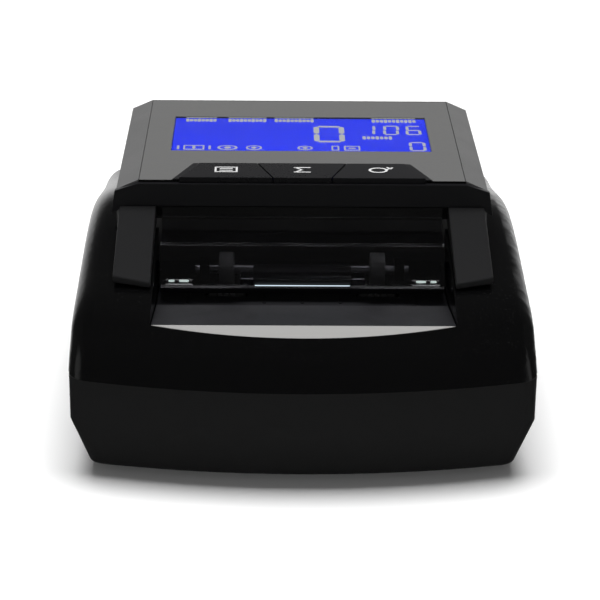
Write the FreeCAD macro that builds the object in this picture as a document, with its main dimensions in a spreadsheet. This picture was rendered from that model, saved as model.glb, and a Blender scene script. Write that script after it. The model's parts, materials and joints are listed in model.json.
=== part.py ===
"""Counter-top banknote detector: a glossy hooded case, a hinged display head and a motor-driven note path.

Frame: X to the right, Y from the feed mouth to the rear exit, Z up, millimetres.
The origin is the middle of the overall box at the level that the feet stand on.
"""
import FreeCAD, Part
import math
import os

import Sketcher
from FreeCAD import Placement, Rotation, Vector

doc = FreeCAD.newDocument("BanknoteDetector")
sheet = doc.addObject("Spreadsheet::Sheet", "Sizes")


class Size:
    """A length that is at once a number and the spreadsheet formula behind it."""

    def __init__(self, value, text=None):
        self.value = float(value)
        number = repr(float(value))
        self.text = text or (f"({number})" if self.value < 0 else number)

    def _join(self, other, sign, value, swap=False):
        left, right = (other, self) if swap else (self, other)
        return Size(value, f"({left.text} {sign} {right.text})")

    def __add__(self, other):
        other = size(other)
        return self._join(other, "+", self.value + other.value)

    def __radd__(self, other):
        return size(other) + self

    def __sub__(self, other):
        other = size(other)
        return self._join(other, "-", self.value - other.value)

    def __rsub__(self, other):
        return size(other) - self

    def __mul__(self, other):
        other = size(other)
        return self._join(other, "*", self.value * other.value)

    def __rmul__(self, other):
        return size(other) * self

    def __truediv__(self, other):
        other = size(other)
        return self._join(other, "/", self.value / other.value)

    def __neg__(self):
        return size(0) - self

    def __float__(self):
        return self.value


def size(value):
    """A plain number or a Size, as a Size."""
    return value if isinstance(value, Size) else Size(value)


# ---------------------------------------------------------------- driving dimensions
DIMENSIONS = (
    ("case_width", 141.5),          # across the seam between case and hood
    ("case_depth", 160.0),          # front of the bow to the rear face
    ("case_height", 80.0),          # rear edge of the display face
    ("wall", 2.2),                  # case and hood wall
    ("fit_gap", 0.15),              # between pieces that are fitted and stay put
    ("swing_gap", 0.5),             # between the head and the case it swings out of
    ("foot_height", 2.0),
    ("foot_radius", 6.0),
    ("foot_inset", 22.0),           # foot centre from the case's side and ends
    ("seam_height", 32.0),          # top of the lower case
    ("waist_height", 18.0),         # where the lower case starts to draw in at its sides
    ("side_taper", 5.4),            # how far the sides draw in at the floor
    ("front_taper", 6.5),           # how far the front draws in at the floor
    ("front_waist", 21.5),          # waist height at the middle of the front
    ("bow_radius", 236.0),          # plan radius of the hood and of the belt
    ("foot_bow_radius", 275.0),     # plan radius of the lower front
    ("plan_corner", 6.0),           # vertical corner rounding of the case
    ("floor_round", 2.5),           # rounding round the floor
    ("side_lean", 0.6),             # how far the hood's sides lean in at the shoulder
    ("shoulder_round", 8.0),        # rounding of the shoulder beside the head
    ("shoulder_height", 64.0),
    ("head_width", 119.0),
    ("head_front", 71.0),           # front face of the head from the case's front
    ("head_top_inset", 9.0),        # rear edge of the display face from the case's rear
    ("head_foot_inset", 4.5),       # rear wall of the head at its lower edge from the case's rear
    ("head_wall", 2.0),
    ("face_front_height", 75.4),    # front edge of the display face
    ("face_width", 104.8),          # flat part between the two bevels
    ("bevel_drop", 3.2),
    ("inlay_thick", 1.0),           # display face plate
    ("path_height", 42.0),          # top of the lower guide
    ("path_gap", 1.6),              # between the lower and the upper guide
    ("guide_thick", 2.0),
    ("mouth_width", 92.0),
    ("tray_front", 18.2),           # front edge of the feed tray from the case's front
    ("tray_front_height", 46.5),
    ("tray_rear", 46.0),
    ("tray_thick", 1.8),
    ("lip_fall", 2.68),             # how far the lip falls towards the bow
    ("lip_run", 10.0),              # over this run
    ("lip_thick", 0.7),
    ("lip_deep", 6.4),              # depth of the lip at its middle
    ("lip_sink", 0.25),             # how far the lip lies below the hood's edge
    ("hinge_inset", 10.0),          # hinge pins from the case's rear
    ("hinge_height", 49.0),
    ("pin_radius", 2.0),
    ("pin_clearance", 0.05),
    ("front_roller", 62.0),         # front drive shaft from the case's front
    ("rear_roller_inset", 38.0),    # rear drive shaft from the case's rear
    ("roller_radius", 9.0),
    ("roller_width", 12.0),
    ("roller_spread", 48.0),
    ("roller_rise", 0.6),           # how far the drive rollers stand above the lower guide
    ("pinch_radius", 5.5),
    ("pinch_width", 5.0),
    ("nip", 0.2),                   # between drive and pinch rollers
    ("shaft_radius", 2.5),
    ("pinch_shaft_radius", 1.5),
    ("running", 0.05),              # radial clearance of a shaft in its bush
    ("plate_at", 51.0),             # inner face of the chassis plates
    ("plate_thick", 1.5),
    ("pulley_radius", 5.0),
    ("belt_thick", 1.0),
    ("belt_width", 4.0),
    ("motor_radius", 12.0),
    ("motor_length", 30.0),
    ("motor_height", 21.5),
    ("board_thick", 1.6),
    ("window_width", 86.8),         # display opening
    ("window_height", 34.6),
    ("window_back", 98.7),          # front edge of the display opening
    ("key_rear", 84.0),             # rear edge of the keys
    ("key_front", 70.0),
    ("key_travel", 0.8),
    ("key_gap", 0.25),
    ("switch_pin", 1.0),            # rocker pivot radius
)
S = {}
for row, (alias, value) in enumerate(DIMENSIONS, start=1):
    sheet.set(f"A{row}", str(value))
    sheet.setAlias(f"A{row}", alias)
    S[alias] = Size(value, f"Sizes.{alias}")
doc.recompute()

# Places that several pieces share.
HALF_WIDTH = S["case_width"] / 2
FRONT = -S["case_depth"] / 2
REAR = S["case_depth"] / 2
HEAD_HALF = S["head_width"] / 2
BAY_HALF = HEAD_HALF + S["swing_gap"]
MOUTH_HALF = S["mouth_width"] / 2
HEAD_FRONT = FRONT + S["head_front"]
BAY_FRONT = HEAD_FRONT - 1.0
HEAD_TOP_REAR = S["case_depth"] - S["head_top_inset"]
HEAD_FOOT_REAR = S["case_depth"] - S["head_foot_inset"]
FACE_SLOPE = (S["case_height"] - S["face_front_height"]) / (HEAD_TOP_REAR - S["head_front"])
PATH = S["path_height"]
UPPER_PATH = S["path_height"] + S["path_gap"]
SHAFT_Z = S["path_height"] + S["roller_rise"] - S["roller_radius"]
PINCH_Z = S["path_height"] + S["roller_rise"] + S["nip"] + S["pinch_radius"]
FRONT_SHAFT_Y = FRONT + S["front_roller"]
REAR_SHAFT_Y = REAR - S["rear_roller_inset"]
MOTOR_Y = (FRONT_SHAFT_Y + REAR_SHAFT_Y) / 2
HINGE_Y = REAR - S["hinge_inset"]
FLOOR = S["foot_height"]
BELT_X = -(S["plate_at"] + S["plate_thick"] + 4.0)
BELT_REACH = S["pulley_radius"] + S["belt_thick"] + 0.3     # belt's outer radius and its clearance


def face_height(back):
    """Height of the sloping display face at a distance from the case's front."""
    return S["face_front_height"] + (size(back) - S["head_front"]) * FACE_SLOPE


# ---------------------------------------------------------------- building helpers
nodes = {}


def bind(obj, name, value):
    """Sets one property of an object from a Size."""
    obj.setExpression(name, size(value).text)


def place(obj, x=0, y=0, z=0, axis=None, angle=0):
    """Puts an object at a point, turned about an axis by a fixed angle."""
    turn = Rotation(Vector(*axis), angle) if axis else Rotation()
    obj.Placement = Placement(Vector(float(size(x)), float(size(y)), float(size(z))), turn)
    for name, value in (("x", x), ("y", y), ("z", z)):
        bind(obj, f"Placement.Base.{name}", value)


def box(name, x, y, z):
    """A box from (low, high) pairs along X, Y and Z."""
    obj = doc.addObject("Part::Box", name)
    for prop, (low, high) in (("Length", x), ("Width", y), ("Height", z)):
        bind(obj, prop, size(high) - low)
    place(obj, x[0], y[0], z[0])
    return obj


def rod(name, axis, radius, low, high, u, v):
    """A cylinder along an axis from low to high; u and v are its other two coordinates in X, Y, Z order."""
    obj = doc.addObject("Part::Cylinder", name)
    bind(obj, "Radius", radius)
    bind(obj, "Height", size(high) - low)
    if axis == "X":
        place(obj, low, u, v, (0, 1, 0), 90)
    elif axis == "Y":
        place(obj, u, low, v, (1, 0, 0), -90)
    else:
        place(obj, u, v, low)
    return obj


def fuse(name, *parts):
    """The union of several objects."""
    obj = doc.addObject("Part::MultiFuse", name)
    obj.Shapes = list(parts)
    obj.Refine = True
    return obj


def cut(name, base, *tools):
    """A base with tools taken away."""
    obj = doc.addObject("Part::Cut", name)
    obj.Base = base
    obj.Tool = tools[0] if len(tools) == 1 else fuse(name + "_tools", *tools)
    obj.Refine = True
    return obj


def common(name, first, second):
    """What two objects share."""
    obj = doc.addObject("Part::Common", name)
    obj.Base = first
    obj.Tool = second
    obj.Refine = True
    return obj


def together(name, *parts):
    """Separate solids that share one node."""
    obj = doc.addObject("Part::Compound", name)
    obj.Links = list(parts)
    return obj


def plane_of(body, role):
    """One of a body's own origin planes or axes."""
    return next(f for f in body.Origin.OriginFeatures if f.Role == role)


def sketch_on(body, name, role):
    """An empty sketch on one of a body's origin planes."""
    sketch = body.newObject("Sketcher::SketchObject", name)
    sketch.AttachmentSupport = [(plane_of(body, role), "")]
    sketch.MapMode = "FlatFace"
    return sketch


def outline(sketch, points):
    """A closed outline of straight edges whose corners are bound to the sheet."""
    start = sketch.GeometryCount
    flat = [Vector(float(size(u)), float(size(v)), 0) for u, v in points]
    count = len(points)
    for i in range(count):
        sketch.addGeometry(Part.LineSegment(flat[i], flat[(i + 1) % count]), False)
    for i in range(count):
        sketch.addConstraint(
            Sketcher.Constraint("Coincident", start + i, 2, start + (i + 1) % count, 1)
        )
        for kind, value in zip(("DistanceX", "DistanceY"), points[i]):
            number = sketch.addConstraint(
                Sketcher.Constraint(kind, -1, 1, start + i, 1, float(size(value)))
            )
            sketch.setExpression(f"Constraints[{number}]", size(value).text)


def prism(name, role, points, low, high):
    """A PartDesign body: an outline padded square to its plane, from low to high along X, Y or Z."""
    body = doc.addObject("PartDesign::Body", name)
    sketch = sketch_on(body, name + "_sketch", role)
    outline(sketch, points)
    pad = body.newObject("PartDesign::Pad", name + "_pad")
    pad.Profile = sketch
    bind(pad, "Length", size(high) - low)
    body.Tip = pad
    if role == "YZ_Plane":
        place(body, x=low)
    elif role == "XZ_Plane":
        place(body, y=high)
    else:
        place(body, z=low)
    return body


def turned(name, points, x=0, y=0, z=0, axis="X"):
    """A PartDesign body turned on a lathe: (along, radius) points round an axis through (x, y, z)."""
    body = doc.addObject("PartDesign::Body", name)
    sketch = sketch_on(body, name + "_sketch", "XY_Plane")
    outline(sketch, points)
    spin = body.newObject("PartDesign::Revolution", name + "_turn")
    spin.Profile = sketch
    spin.ReferenceAxis = (plane_of(body, "X_Axis"), [""])
    spin.Angle = 360
    body.Tip = spin
    turn = {"X": None, "Y": (0, 0, 1), "Z": (0, 1, 0)}[axis]
    place(body, x, y, z, turn, {"X": 0, "Y": 90, "Z": -90}[axis])
    return body


def node(label, obj):
    """Names a finished sub-part. Its label names its file."""
    obj.Label = label
    nodes[label] = obj
    return obj


def back(distance):
    """The Y of a distance measured from the case's front."""
    return FRONT + distance


def slab(name, near, far, top, bottom, left, right):
    """A plate parallel to the display face; top and bottom are its distances above the face."""
    near, far = size(near), size(far)
    corners = [
        (back(near), face_height(near) + bottom),
        (back(far), face_height(far) + bottom),
        (back(far), face_height(far) + top),
        (back(near), face_height(near) + top),
    ]
    return prism(name, "YZ_Plane", corners, left, right)


def moulded(name, shape):
    """A freeform solid whose maker reads its sizes from the sheet."""
    obj = doc.addObject("Part::Feature", name)
    obj.Shape = shape
    return obj


# ---------------------------------------------------------------- freeform shapes of the case
def case_wire(level, half, front, rear, bow, corner):
    """Plan outline of the case: a bowed front, straight sides and rear, round corners."""
    middle = front + bow
    round_x = half - corner
    round_y = middle - math.sqrt((bow - corner) ** 2 - round_x ** 2)
    reach = math.atan2(round_x, middle - round_y)

    def at(x, y, radius, angle):
        return Vector(x + radius * math.sin(angle), y - radius * math.cos(angle), level)

    quarter = math.pi / 2
    edges = [Part.Arc(at(0, middle, bow, -reach), at(0, middle, bow, 0), at(0, middle, bow, reach))]
    edges.append(Part.Arc(
        at(round_x, round_y, corner, reach),
        at(round_x, round_y, corner, (reach + quarter) / 2),
        at(round_x, round_y, corner, quarter),
    ))
    edges.append(Part.LineSegment(Vector(half, round_y, level), Vector(half, rear - corner, level)))
    edges.append(Part.Arc(
        at(round_x, rear - corner, corner, quarter),
        at(round_x, rear - corner, corner, 1.5 * quarter),
        at(round_x, rear - corner, corner, 2 * quarter),
    ))
    edges.append(Part.LineSegment(Vector(round_x, rear, level), Vector(-round_x, rear, level)))
    edges.append(Part.Arc(
        at(-round_x, rear - corner, corner, -2 * quarter),
        at(-round_x, rear - corner, corner, -1.5 * quarter),
        at(-round_x, rear - corner, corner, -quarter),
    ))
    edges.append(Part.LineSegment(
        Vector(-half, rear - corner, level), Vector(-half, round_y, level)
    ))
    edges.append(Part.Arc(
        at(-round_x, round_y, corner, -quarter),
        at(-round_x, round_y, corner, -(reach + quarter) / 2),
        at(-round_x, round_y, corner, -reach),
    ))
    return Part.Wire([edge.toShape() for edge in edges])


def case_block(inset, low, high):
    """The lower case as a solid block, or the hollow of it when inset by the wall."""
    half, front, rear = float(HALF_WIDTH) - inset, float(FRONT) + inset, float(REAR) - inset
    bow, corner = float(S["bow_radius"]) - inset, float(S["plan_corner"]) - inset
    floor, waist = float(FLOOR), float(S["waist_height"])
    upright = Part.Face(case_wire(low, half, front, rear, bow, corner)).extrude(Vector(0, 0, high - low))

    side = float(S["side_taper"]) / (waist - floor)
    brow = float(S["front_taper"]) / (float(S["front_waist"]) - floor)
    wires = []
    for level in (low, high):
        rise = level - floor
        wires.append(case_wire(
            level,
            half - float(S["side_taper"]) + side * rise,
            front + float(S["front_taper"]) - brow * rise,
            rear,
            float(S["foot_bow_radius"]) - inset,
            corner,
        ))
    tapered = Part.makeLoft(wires, True, True)
    return upright.common(tapered)


# Side profile of the hood on its middle line: distance back from the front, height above the
# seam as a share of the shoulder's. It runs a little below the seam so that the trim is clean.
HOOD_PROFILE = (
    (-3.0, -0.13), (0.0, 0.0), (6.0, 0.25), (12.0, 0.408), (13.8, 0.456), (18.0, 0.531),
    (27.0, 0.619), (36.0, 0.681), (50.0, 0.778), (69.0, 0.8875), (80.0, 0.919), (90.0, 0.906),
    (102.0, 0.8375), (115.0, 0.744), (128.0, 0.6625), (140.0, 0.6125), (165.0, 0.531),
    (236.0, 0.4375),
)


def hood_block(inset, half, rear):
    """The hood as a solid block: its profile turned about the bow's centre, between the sides."""
    seam, shoulder = float(S["seam_height"]), float(S["shoulder_height"])
    stretch = float(S["bow_radius"]) / HOOD_PROFILE[-1][0]
    line = [
        Vector(0, float(FRONT) + stretch * y, seam + share * (shoulder - seam))
        for y, share in HOOD_PROFILE
    ]
    shifted = []
    for i, point in enumerate(line):
        along = line[min(i + 1, len(line) - 1)] - line[max(i - 1, 0)]
        along.normalize()
        shifted.append(point + Vector(0, along.z, -along.y) * inset)
    shifted[-1].y = line[-1].y
    curve = Part.BSplineCurve()
    curve.interpolate(shifted)
    base = shifted[0].z
    middle = line[-1].y
    edges = [
        curve.toShape(),
        Part.makeLine(shifted[-1], Vector(0, middle, base)),
        Part.makeLine(Vector(0, middle, base), shifted[0]),
    ]
    dome = Part.Face(Part.Wire(edges)).revolve(Vector(0, middle, 0), Vector(0, 0, 1), 360)
    lean = float(S["side_lean"])
    top = 2 * shoulder - seam
    corners = [
        Vector(-half, float(FRONT) - 5, base - 1), Vector(half, float(FRONT) - 5, base - 1),
        Vector(half, float(FRONT) - 5, seam), Vector(half - 2 * lean, float(FRONT) - 5, top),
        Vector(-half + 2 * lean, float(FRONT) - 5, top), Vector(-half, float(FRONT) - 5, seam),
    ]
    sides = Part.Face(Part.makePolygon(corners + corners[:1]))
    sides = sides.extrude(Vector(0, rear - float(FRONT) + 5, 0))
    block = dome.common(sides)
    shoulder_edges = [
        edge for edge in block.Edges
        if abs(edge.CenterOfMass.x) > half - 3 * lean and edge.BoundBox.YLength > 20
        and edge.BoundBox.ZMax > seam + 10 and edge.BoundBox.XLength < 4
        and edge.BoundBox.ZLength > 4
    ]
    block = block.makeFillet(float(S["shoulder_round"]) - inset, shoulder_edges)
    return block


def keep_above(shape, level):
    """A shape without what lies below a level."""
    far = 400
    return shape.common(Part.makeBox(far, far, far, Vector(-far / 2, -far / 2, level)))


def belt_loop(points, radius, low, high):
    """A flat belt round equal pulleys, from low to high along X."""
    wire = Part.makePolygon([Vector(low, y, z) for y, z in points + points[:1]])
    inner = Part.Face(wire.makeOffset2D(radius, 0)).extrude(Vector(high - low, 0, 0))
    outer = Part.Face(wire.makeOffset2D(radius + float(S["belt_thick"]), 0))
    return outer.extrude(Vector(high - low, 0, 0)).cut(inner)


# ---------------------------------------------------------------- lower case and its rear fittings
TRIM = 0.4                          # the lower case stands this far inside the hood's edge
WALL = S["wall"]
SEAM = S["seam_height"]
wall_mm, seam_mm, floor_mm = float(WALL), float(SEAM), float(FLOOR)

case_outer = case_block(TRIM, floor_mm, seam_mm)
floor_edges = [edge for edge in case_outer.Edges if edge.BoundBox.ZMax < floor_mm + 0.01]
case_outer = case_outer.makeFillet(float(S["floor_round"]), floor_edges)
case_inner = case_block(TRIM + wall_mm, floor_mm, seam_mm + 1)
tub = cut("tub", moulded("case_outer", case_outer), moulded(
    "case_hollow", keep_above(case_inner, floor_mm + wall_mm)))

DECK = FLOOR + WALL                 # upper face of the case floor
BOARD_Z = DECK + 2.8
BOARD_X, BOARD_FRONT, BOARD_REAR = 45.0, 32.0, 110.0
POST_RADIUS = 3.4
POST_X, POST_FRONT, POST_REAR = 54.0, 31.0, S["case_depth"] - TRIM - WALL - POST_RADIUS
board_spots = [(x, back(y)) for x in (-BOARD_X, BOARD_X) for y in (BOARD_FRONT, BOARD_REAR)]
post_spots = [(x, back(y)) for x in (-POST_X, POST_X) for y in (POST_FRONT, POST_REAR)]

standoffs = []
for i, (x, y) in enumerate(board_spots):
    standoffs.append(cut(
        f"standoff_{i}",
        rod(f"standoff_post_{i}", "Z", 3.0, DECK - 0.2, BOARD_Z, x, y),
        rod(f"standoff_bore_{i}", "Z", 1.25, DECK + 0.2, BOARD_Z + 1, x, y),
    ))
INLET_X, INLET_Z, INLET_R = 40.0, 15.0, 5.5
SWITCH_X, SWITCH_Z = -40.0, 16.0
SOCKET_X, SOCKET_Z = 10.0, 13.0
case_holes = [
    rod("inlet_hole", "Y", S["fit_gap"] + INLET_R, REAR - 6, REAR + 1, INLET_X, INLET_Z),
    box("switch_hole", (SWITCH_X - 8.15, SWITCH_X + 8.15), (REAR - 6, REAR + 1),
        (SWITCH_Z - 6.15, SWITCH_Z + 6.15)),
    box("socket_hole", (SOCKET_X - 4.15, SOCKET_X + 4.15), (REAR - 6, REAR + 1),
        (SOCKET_Z - 2.15, SOCKET_Z + 2.15)),
]
for i, (x, y) in enumerate(post_spots):
    case_holes.append(rod(f"screw_hole_{i}", "Z", 1.5, 0, DECK + 1, x, y))
    case_holes.append(rod(f"screw_sink_{i}", "Z", 2.9, 0, FLOOR + 1.1, x, y))
vent_slots = [
    box(f"vent_{i}", (x, x + 2), (back(64), back(84)), (0, DECK + 1))
    for i, x in enumerate((4, 8, 12, 16, 20, 24, 28))
]
node("lower_case", cut("lower_case_shape", fuse("tub_with_posts", tub, *standoffs),
                       *case_holes, *vent_slots))

feet = []
for i, (x, y) in enumerate((sx, sy) for sx in (-1, 1) for sy in (-1, 1)):
    foot_x = (HALF_WIDTH - S["foot_inset"]) * x
    foot_y = FRONT + S["foot_inset"] if y < 0 else REAR - S["foot_inset"]
    feet.append(turned(
        f"foot_{i}",
        [(0, 0), (0, S["foot_radius"] - 0.5), (0.5, S["foot_radius"]),
         (S["foot_height"], S["foot_radius"]), (S["foot_height"], 0)],
        foot_x, foot_y, 0, "Z",
    ))
node("feet", together("feet_set", *feet))

inlet_barrel = rod("inlet_barrel", "Y", INLET_R, REAR - 13, REAR, INLET_X, INLET_Z)
inlet_flange = rod("inlet_flange", "Y", INLET_R + 1.6, REAR - TRIM, REAR + 0.9, INLET_X, INLET_Z)
inlet_bore = rod("inlet_bore", "Y", 2.9, REAR - 10, REAR + 2, INLET_X, INLET_Z)
inlet_pin = rod("inlet_pin", "Y", 1.05, REAR - 11, REAR - 0.5, INLET_X, INLET_Z)
node("power_inlet", fuse("inlet_whole", cut(
    "inlet_body", fuse("inlet_block", inlet_barrel, inlet_flange), inlet_bore), inlet_pin))

node("power_switch", cut(
    "switch_body",
    fuse("switch_block",
         box("switch_core", (SWITCH_X - 8, SWITCH_X + 8), (REAR - 12, REAR),
             (SWITCH_Z - 6, SWITCH_Z + 6)),
         box("switch_flange", (SWITCH_X - 9.4, SWITCH_X + 9.4), (REAR - TRIM, REAR + 0.9),
             (SWITCH_Z - 7.4, SWITCH_Z + 7.4))),
    box("switch_cavity", (SWITCH_X - 6.6, SWITCH_X + 6.6), (REAR - 8, REAR + 2),
        (SWITCH_Z - 5, SWITCH_Z + 5)),
    rod("switch_bore", "X", S["switch_pin"] + S["running"], SWITCH_X - 7.4, SWITCH_X + 7.4,
        REAR - 2.5, SWITCH_Z),
))
rocker = prism("rocker_key", "YZ_Plane",
               [(-3, -2.2), (1.6, -4.2), (2.6, -4.0), (1.7, 0), (2.6, 4.0), (1.6, 4.2), (-3, 2.2)],
               0, 12.8)
place(rocker, SWITCH_X - 6.4, REAR - 2.5, SWITCH_Z, (1, 0, 0), -7)
rocker_pin = rod("rocker_pin", "X", S["switch_pin"], SWITCH_X - 7.2, SWITCH_X + 7.2,
                 REAR - 2.5, SWITCH_Z)
node("power_rocker", fuse("rocker_whole", rocker, rocker_pin))

node("update_socket", cut(
    "socket_shell",
    box("socket_block", (SOCKET_X - 4, SOCKET_X + 4), (REAR - 9, REAR + 0.2),
        (SOCKET_Z - 2, SOCKET_Z + 2)),
    box("socket_cavity", (SOCKET_X - 3.4, SOCKET_X + 3.4), (REAR - 6, REAR + 1),
        (SOCKET_Z - 1.4, SOCKET_Z + 1.4)),
))

# ---------------------------------------------------------------- hood
hood_outer = keep_above(hood_block(0.0, float(HALF_WIDTH), float(REAR)), seam_mm)
hood_plan = Part.Face(case_wire(
    seam_mm - 1, float(HALF_WIDTH), float(FRONT) - 6, float(REAR), float(S["bow_radius"]),
    float(S["plan_corner"])))
hood_outer = hood_outer.common(hood_plan.extrude(Vector(0, 0, 2 * seam_mm)))
hood_inner = hood_block(wall_mm, float(HALF_WIDTH) - wall_mm, float(REAR) - wall_mm)
hood_solid = moulded("hood_outer", hood_outer)
hood_shell = cut("hood_shell", hood_solid, moulded("hood_hollow", hood_inner))
WALL_TOP = S["shoulder_height"] + 5
inner_walls = []
for side, sign in (("left", -1), ("right", 1)):
    low, high = (-(BAY_HALF + WALL), -BAY_HALF) if sign < 0 else (BAY_HALF, BAY_HALF + WALL)
    inner_walls.append(box(f"bay_wall_{side}", (low, high), (back(66), REAR),
                           (SEAM + 2, WALL_TOP)))
    low, high = (-(MOUTH_HALF + WALL), -MOUTH_HALF) if sign < 0 else (
        MOUTH_HALF, MOUTH_HALF + WALL)
    inner_walls.append(box(f"mouth_wall_{side}", (low, high), (back(16), BAY_FRONT),
                           (PATH - 3, WALL_TOP)))
    low, high = (-(BAY_HALF + WALL), -MOUTH_HALF) if sign < 0 else (
        MOUTH_HALF, BAY_HALF + WALL)
    inner_walls.append(box(f"brow_wall_{side}", (low, high), (BAY_FRONT - WALL, BAY_FRONT),
                           (PATH, WALL_TOP)))
inner_walls.append(box("rear_wall", (-BAY_HALF, BAY_HALF), (REAR - WALL, REAR), (SEAM, PATH)))
ribs = common("inner_walls", fuse("inner_wall_set", *inner_walls), hood_solid)

LIP_SLOPE = S["lip_fall"] / S["lip_run"]
LIP_TIP = S["tray_front_height"] - (S["tray_front"] - 2) * LIP_SLOPE
LIP_FRONT = S["tray_front"] - S["lip_deep"]
LIP_RADIUS = (MOUTH_HALF * MOUTH_HALF + S["lip_deep"] * S["lip_deep"]) / (S["lip_deep"] * 2)


def lip_wedge(name, top, bottom, gap):
    """What lies between two planes parallel to the lip, inside the lip's arc."""
    wedge = prism(
        name + "_wedge", "YZ_Plane",
        [(back(2), LIP_TIP + bottom), (back(S["tray_front"]), S["tray_front_height"] + bottom),
         (back(S["tray_front"]), S["tray_front_height"] + top), (back(2), LIP_TIP + top)],
        -MOUTH_HALF + gap, MOUTH_HALF - gap)
    disc = rod(name + "_arc", "Z", LIP_RADIUS - gap, PATH - 9, WALL_TOP + 12, 0,
               back(LIP_FRONT) + LIP_RADIUS)
    return common(name, wedge, disc)


facet_cut = lip_wedge("facet_cut", 30, -S["lip_thick"] - S["lip_sink"], size(0))
openings = [
    facet_cut,
    box("mouth_opening", (-MOUTH_HALF, MOUTH_HALF), (back(S["tray_front"] - 0.1), back(75)),
        (PATH - 4, WALL_TOP + 9)),
    box("bay_opening", (-BAY_HALF, BAY_HALF), (BAY_FRONT, REAR + 20), (PATH - 6, WALL_TOP + 9)),
    box("belt_room", (-BAY_HALF, BAY_HALF), (back(17), REAR - WALL), (SEAM - 4, PATH - 2)),
]
for i, sign in enumerate((-1, 1)):
    reach = (-(BAY_HALF + WALL - 0.3), -(BAY_HALF - 1)) if sign < 0 else (
        BAY_HALF - 1, BAY_HALF + WALL - 0.3)
    openings.append(rod(f"pin_hole_{i}", "X", S["pin_radius"], reach[0], reach[1],
                        HINGE_Y, S["hinge_height"]))
posts = []
for i, (x, y) in enumerate(post_spots):
    top = PATH - 5.8 if i % 2 else PATH + 12
    posts.append(cut(f"post_{i}", rod(f"post_body_{i}", "Z", POST_RADIUS, DECK, top, x, y),
                     rod(f"post_bore_{i}", "Z", 1.3, 0, DECK + 12, x, y)))
post_webs = [
    box(f"post_web_{i}", (x - 1.2, x + 1.2), (back(POST_REAR), REAR - WALL + 0.2),
        (SEAM + 0.5, PATH - 5.8))
    for i, x in enumerate((-POST_X, POST_X))
]
front_posts = common("front_posts", fuse("front_post_set", posts[0], posts[2]), moulded(
    "post_reach", Part.makeBox(160, 60, 200, Vector(-80, float(FRONT), 0)).common(
        keep_above(hood_block(0.5, float(HALF_WIDTH) - 0.5, float(REAR)), 0).fuse(
            Part.makeBox(160, 60, seam_mm, Vector(-80, float(FRONT), 0))))))
node("upper_shell", fuse(
    "upper_shell_whole",
    cut("upper_shell_shape", fuse("hood_with_walls", hood_shell, ribs), *openings),
    front_posts, posts[1], posts[3], *post_webs,
))

screws = []
for i, (x, y) in enumerate(post_spots):
    screws.append(fuse(f"case_screw_{i}",
                       rod(f"case_screw_head_{i}", "Z", 2.6, FLOOR + 0.1, FLOOR + 1.1, x, y),
                       rod(f"case_screw_shank_{i}", "Z", 1.25, FLOOR + 1, DECK + 9, x, y)))
node("case_screws", together("case_screw_set", *screws))

pins = [
    rod("hinge_pin_left", "X", S["pin_radius"], -(BAY_HALF + WALL - 0.3), -(HEAD_HALF - 5.4),
        HINGE_Y, S["hinge_height"]),
    rod("hinge_pin_right", "X", S["pin_radius"], HEAD_HALF - 5.4, BAY_HALF + WALL - 0.3,
        HINGE_Y, S["hinge_height"]),
]
node("hinge_pins", together("hinge_pin_set", *pins))

# ---------------------------------------------------------------- feed tray, lip and lower guide
TRAY_HALF = MOUTH_HALF - 0.2
node("feed_tray", prism(
    "tray_shape", "YZ_Plane",
    [(back(S["tray_front"]) + 0.05, S["tray_front_height"]),
     (back(S["tray_rear"]) - 0.05, PATH + 0.3),
     (back(S["tray_rear"]) - 0.05, PATH + 0.3 - S["tray_thick"]),
     (back(S["tray_front"]) + 0.05, S["tray_front_height"] - S["tray_thick"])],
    -TRAY_HALF, TRAY_HALF,
))
node("feed_lip", lip_wedge("lip_shape", 0, -S["lip_thick"], size(0.1)))

GUIDE_HALF = BAY_HALF - 0.2
guide_plate = fuse(
    "guide_sheet",
    box("guide_neck", (-TRAY_HALF, TRAY_HALF), (back(S["tray_rear"]), back(75)),
        (PATH - S["guide_thick"], PATH)),
    box("guide_deck", (-GUIDE_HALF, GUIDE_HALF), (BAY_FRONT + 0.2, REAR - 14),
        (PATH - S["guide_thick"], PATH)),
    prism("guide_exit", "YZ_Plane",
          [(REAR - 15, PATH - S["guide_thick"]), (REAR - 14, PATH - S["guide_thick"]),
           (REAR - 2.5, PATH - S["guide_thick"] - 3.3), (REAR - 2.5, PATH - 3.3),
           (REAR - 14, PATH), (REAR - 15, PATH)], -GUIDE_HALF, GUIDE_HALF),
)
ROLLER_X = S["roller_spread"] / 2
guide_windows = []
for i, (x, y) in enumerate(
        (sx, sy) for sx in (-ROLLER_X, ROLLER_X) for sy in (FRONT_SHAFT_Y, REAR_SHAFT_Y)):
    guide_windows.append(box(
        f"roller_window_{i}",
        (x - S["roller_width"] / 2 - 0.8, x + S["roller_width"] / 2 + 0.8),
        (y - 7.4, y + 7.4), (PATH - 5, PATH + 2)))
guide_windows.append(box(
    "belt_relief", (BELT_X - S["belt_width"] / 2 - 1, BELT_X + S["belt_width"] / 2 + 1),
    (FRONT_SHAFT_Y - BELT_REACH, REAR_SHAFT_Y + BELT_REACH), (PATH - 9, SHAFT_Z + BELT_REACH)))
SENSOR_HALF, SENSOR_FRONT, SENSOR_REAR = 38.0, 86.0, 98.0
guide_windows.append(box("lower_sensor_hole", (-SENSOR_HALF - 0.15, SENSOR_HALF + 0.15),
                         (back(SENSOR_FRONT - 0.15), back(SENSOR_REAR + 0.15)),
                         (PATH - 5, PATH + 2)))
node("lower_guide", cut("lower_guide_shape", guide_plate, *guide_windows))
node("lower_sensor_window", box(
    "lower_window_plate", (-SENSOR_HALF, SENSOR_HALF), (back(SENSOR_FRONT), back(SENSOR_REAR)),
    (PATH - S["guide_thick"], PATH - 0.1)))

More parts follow.
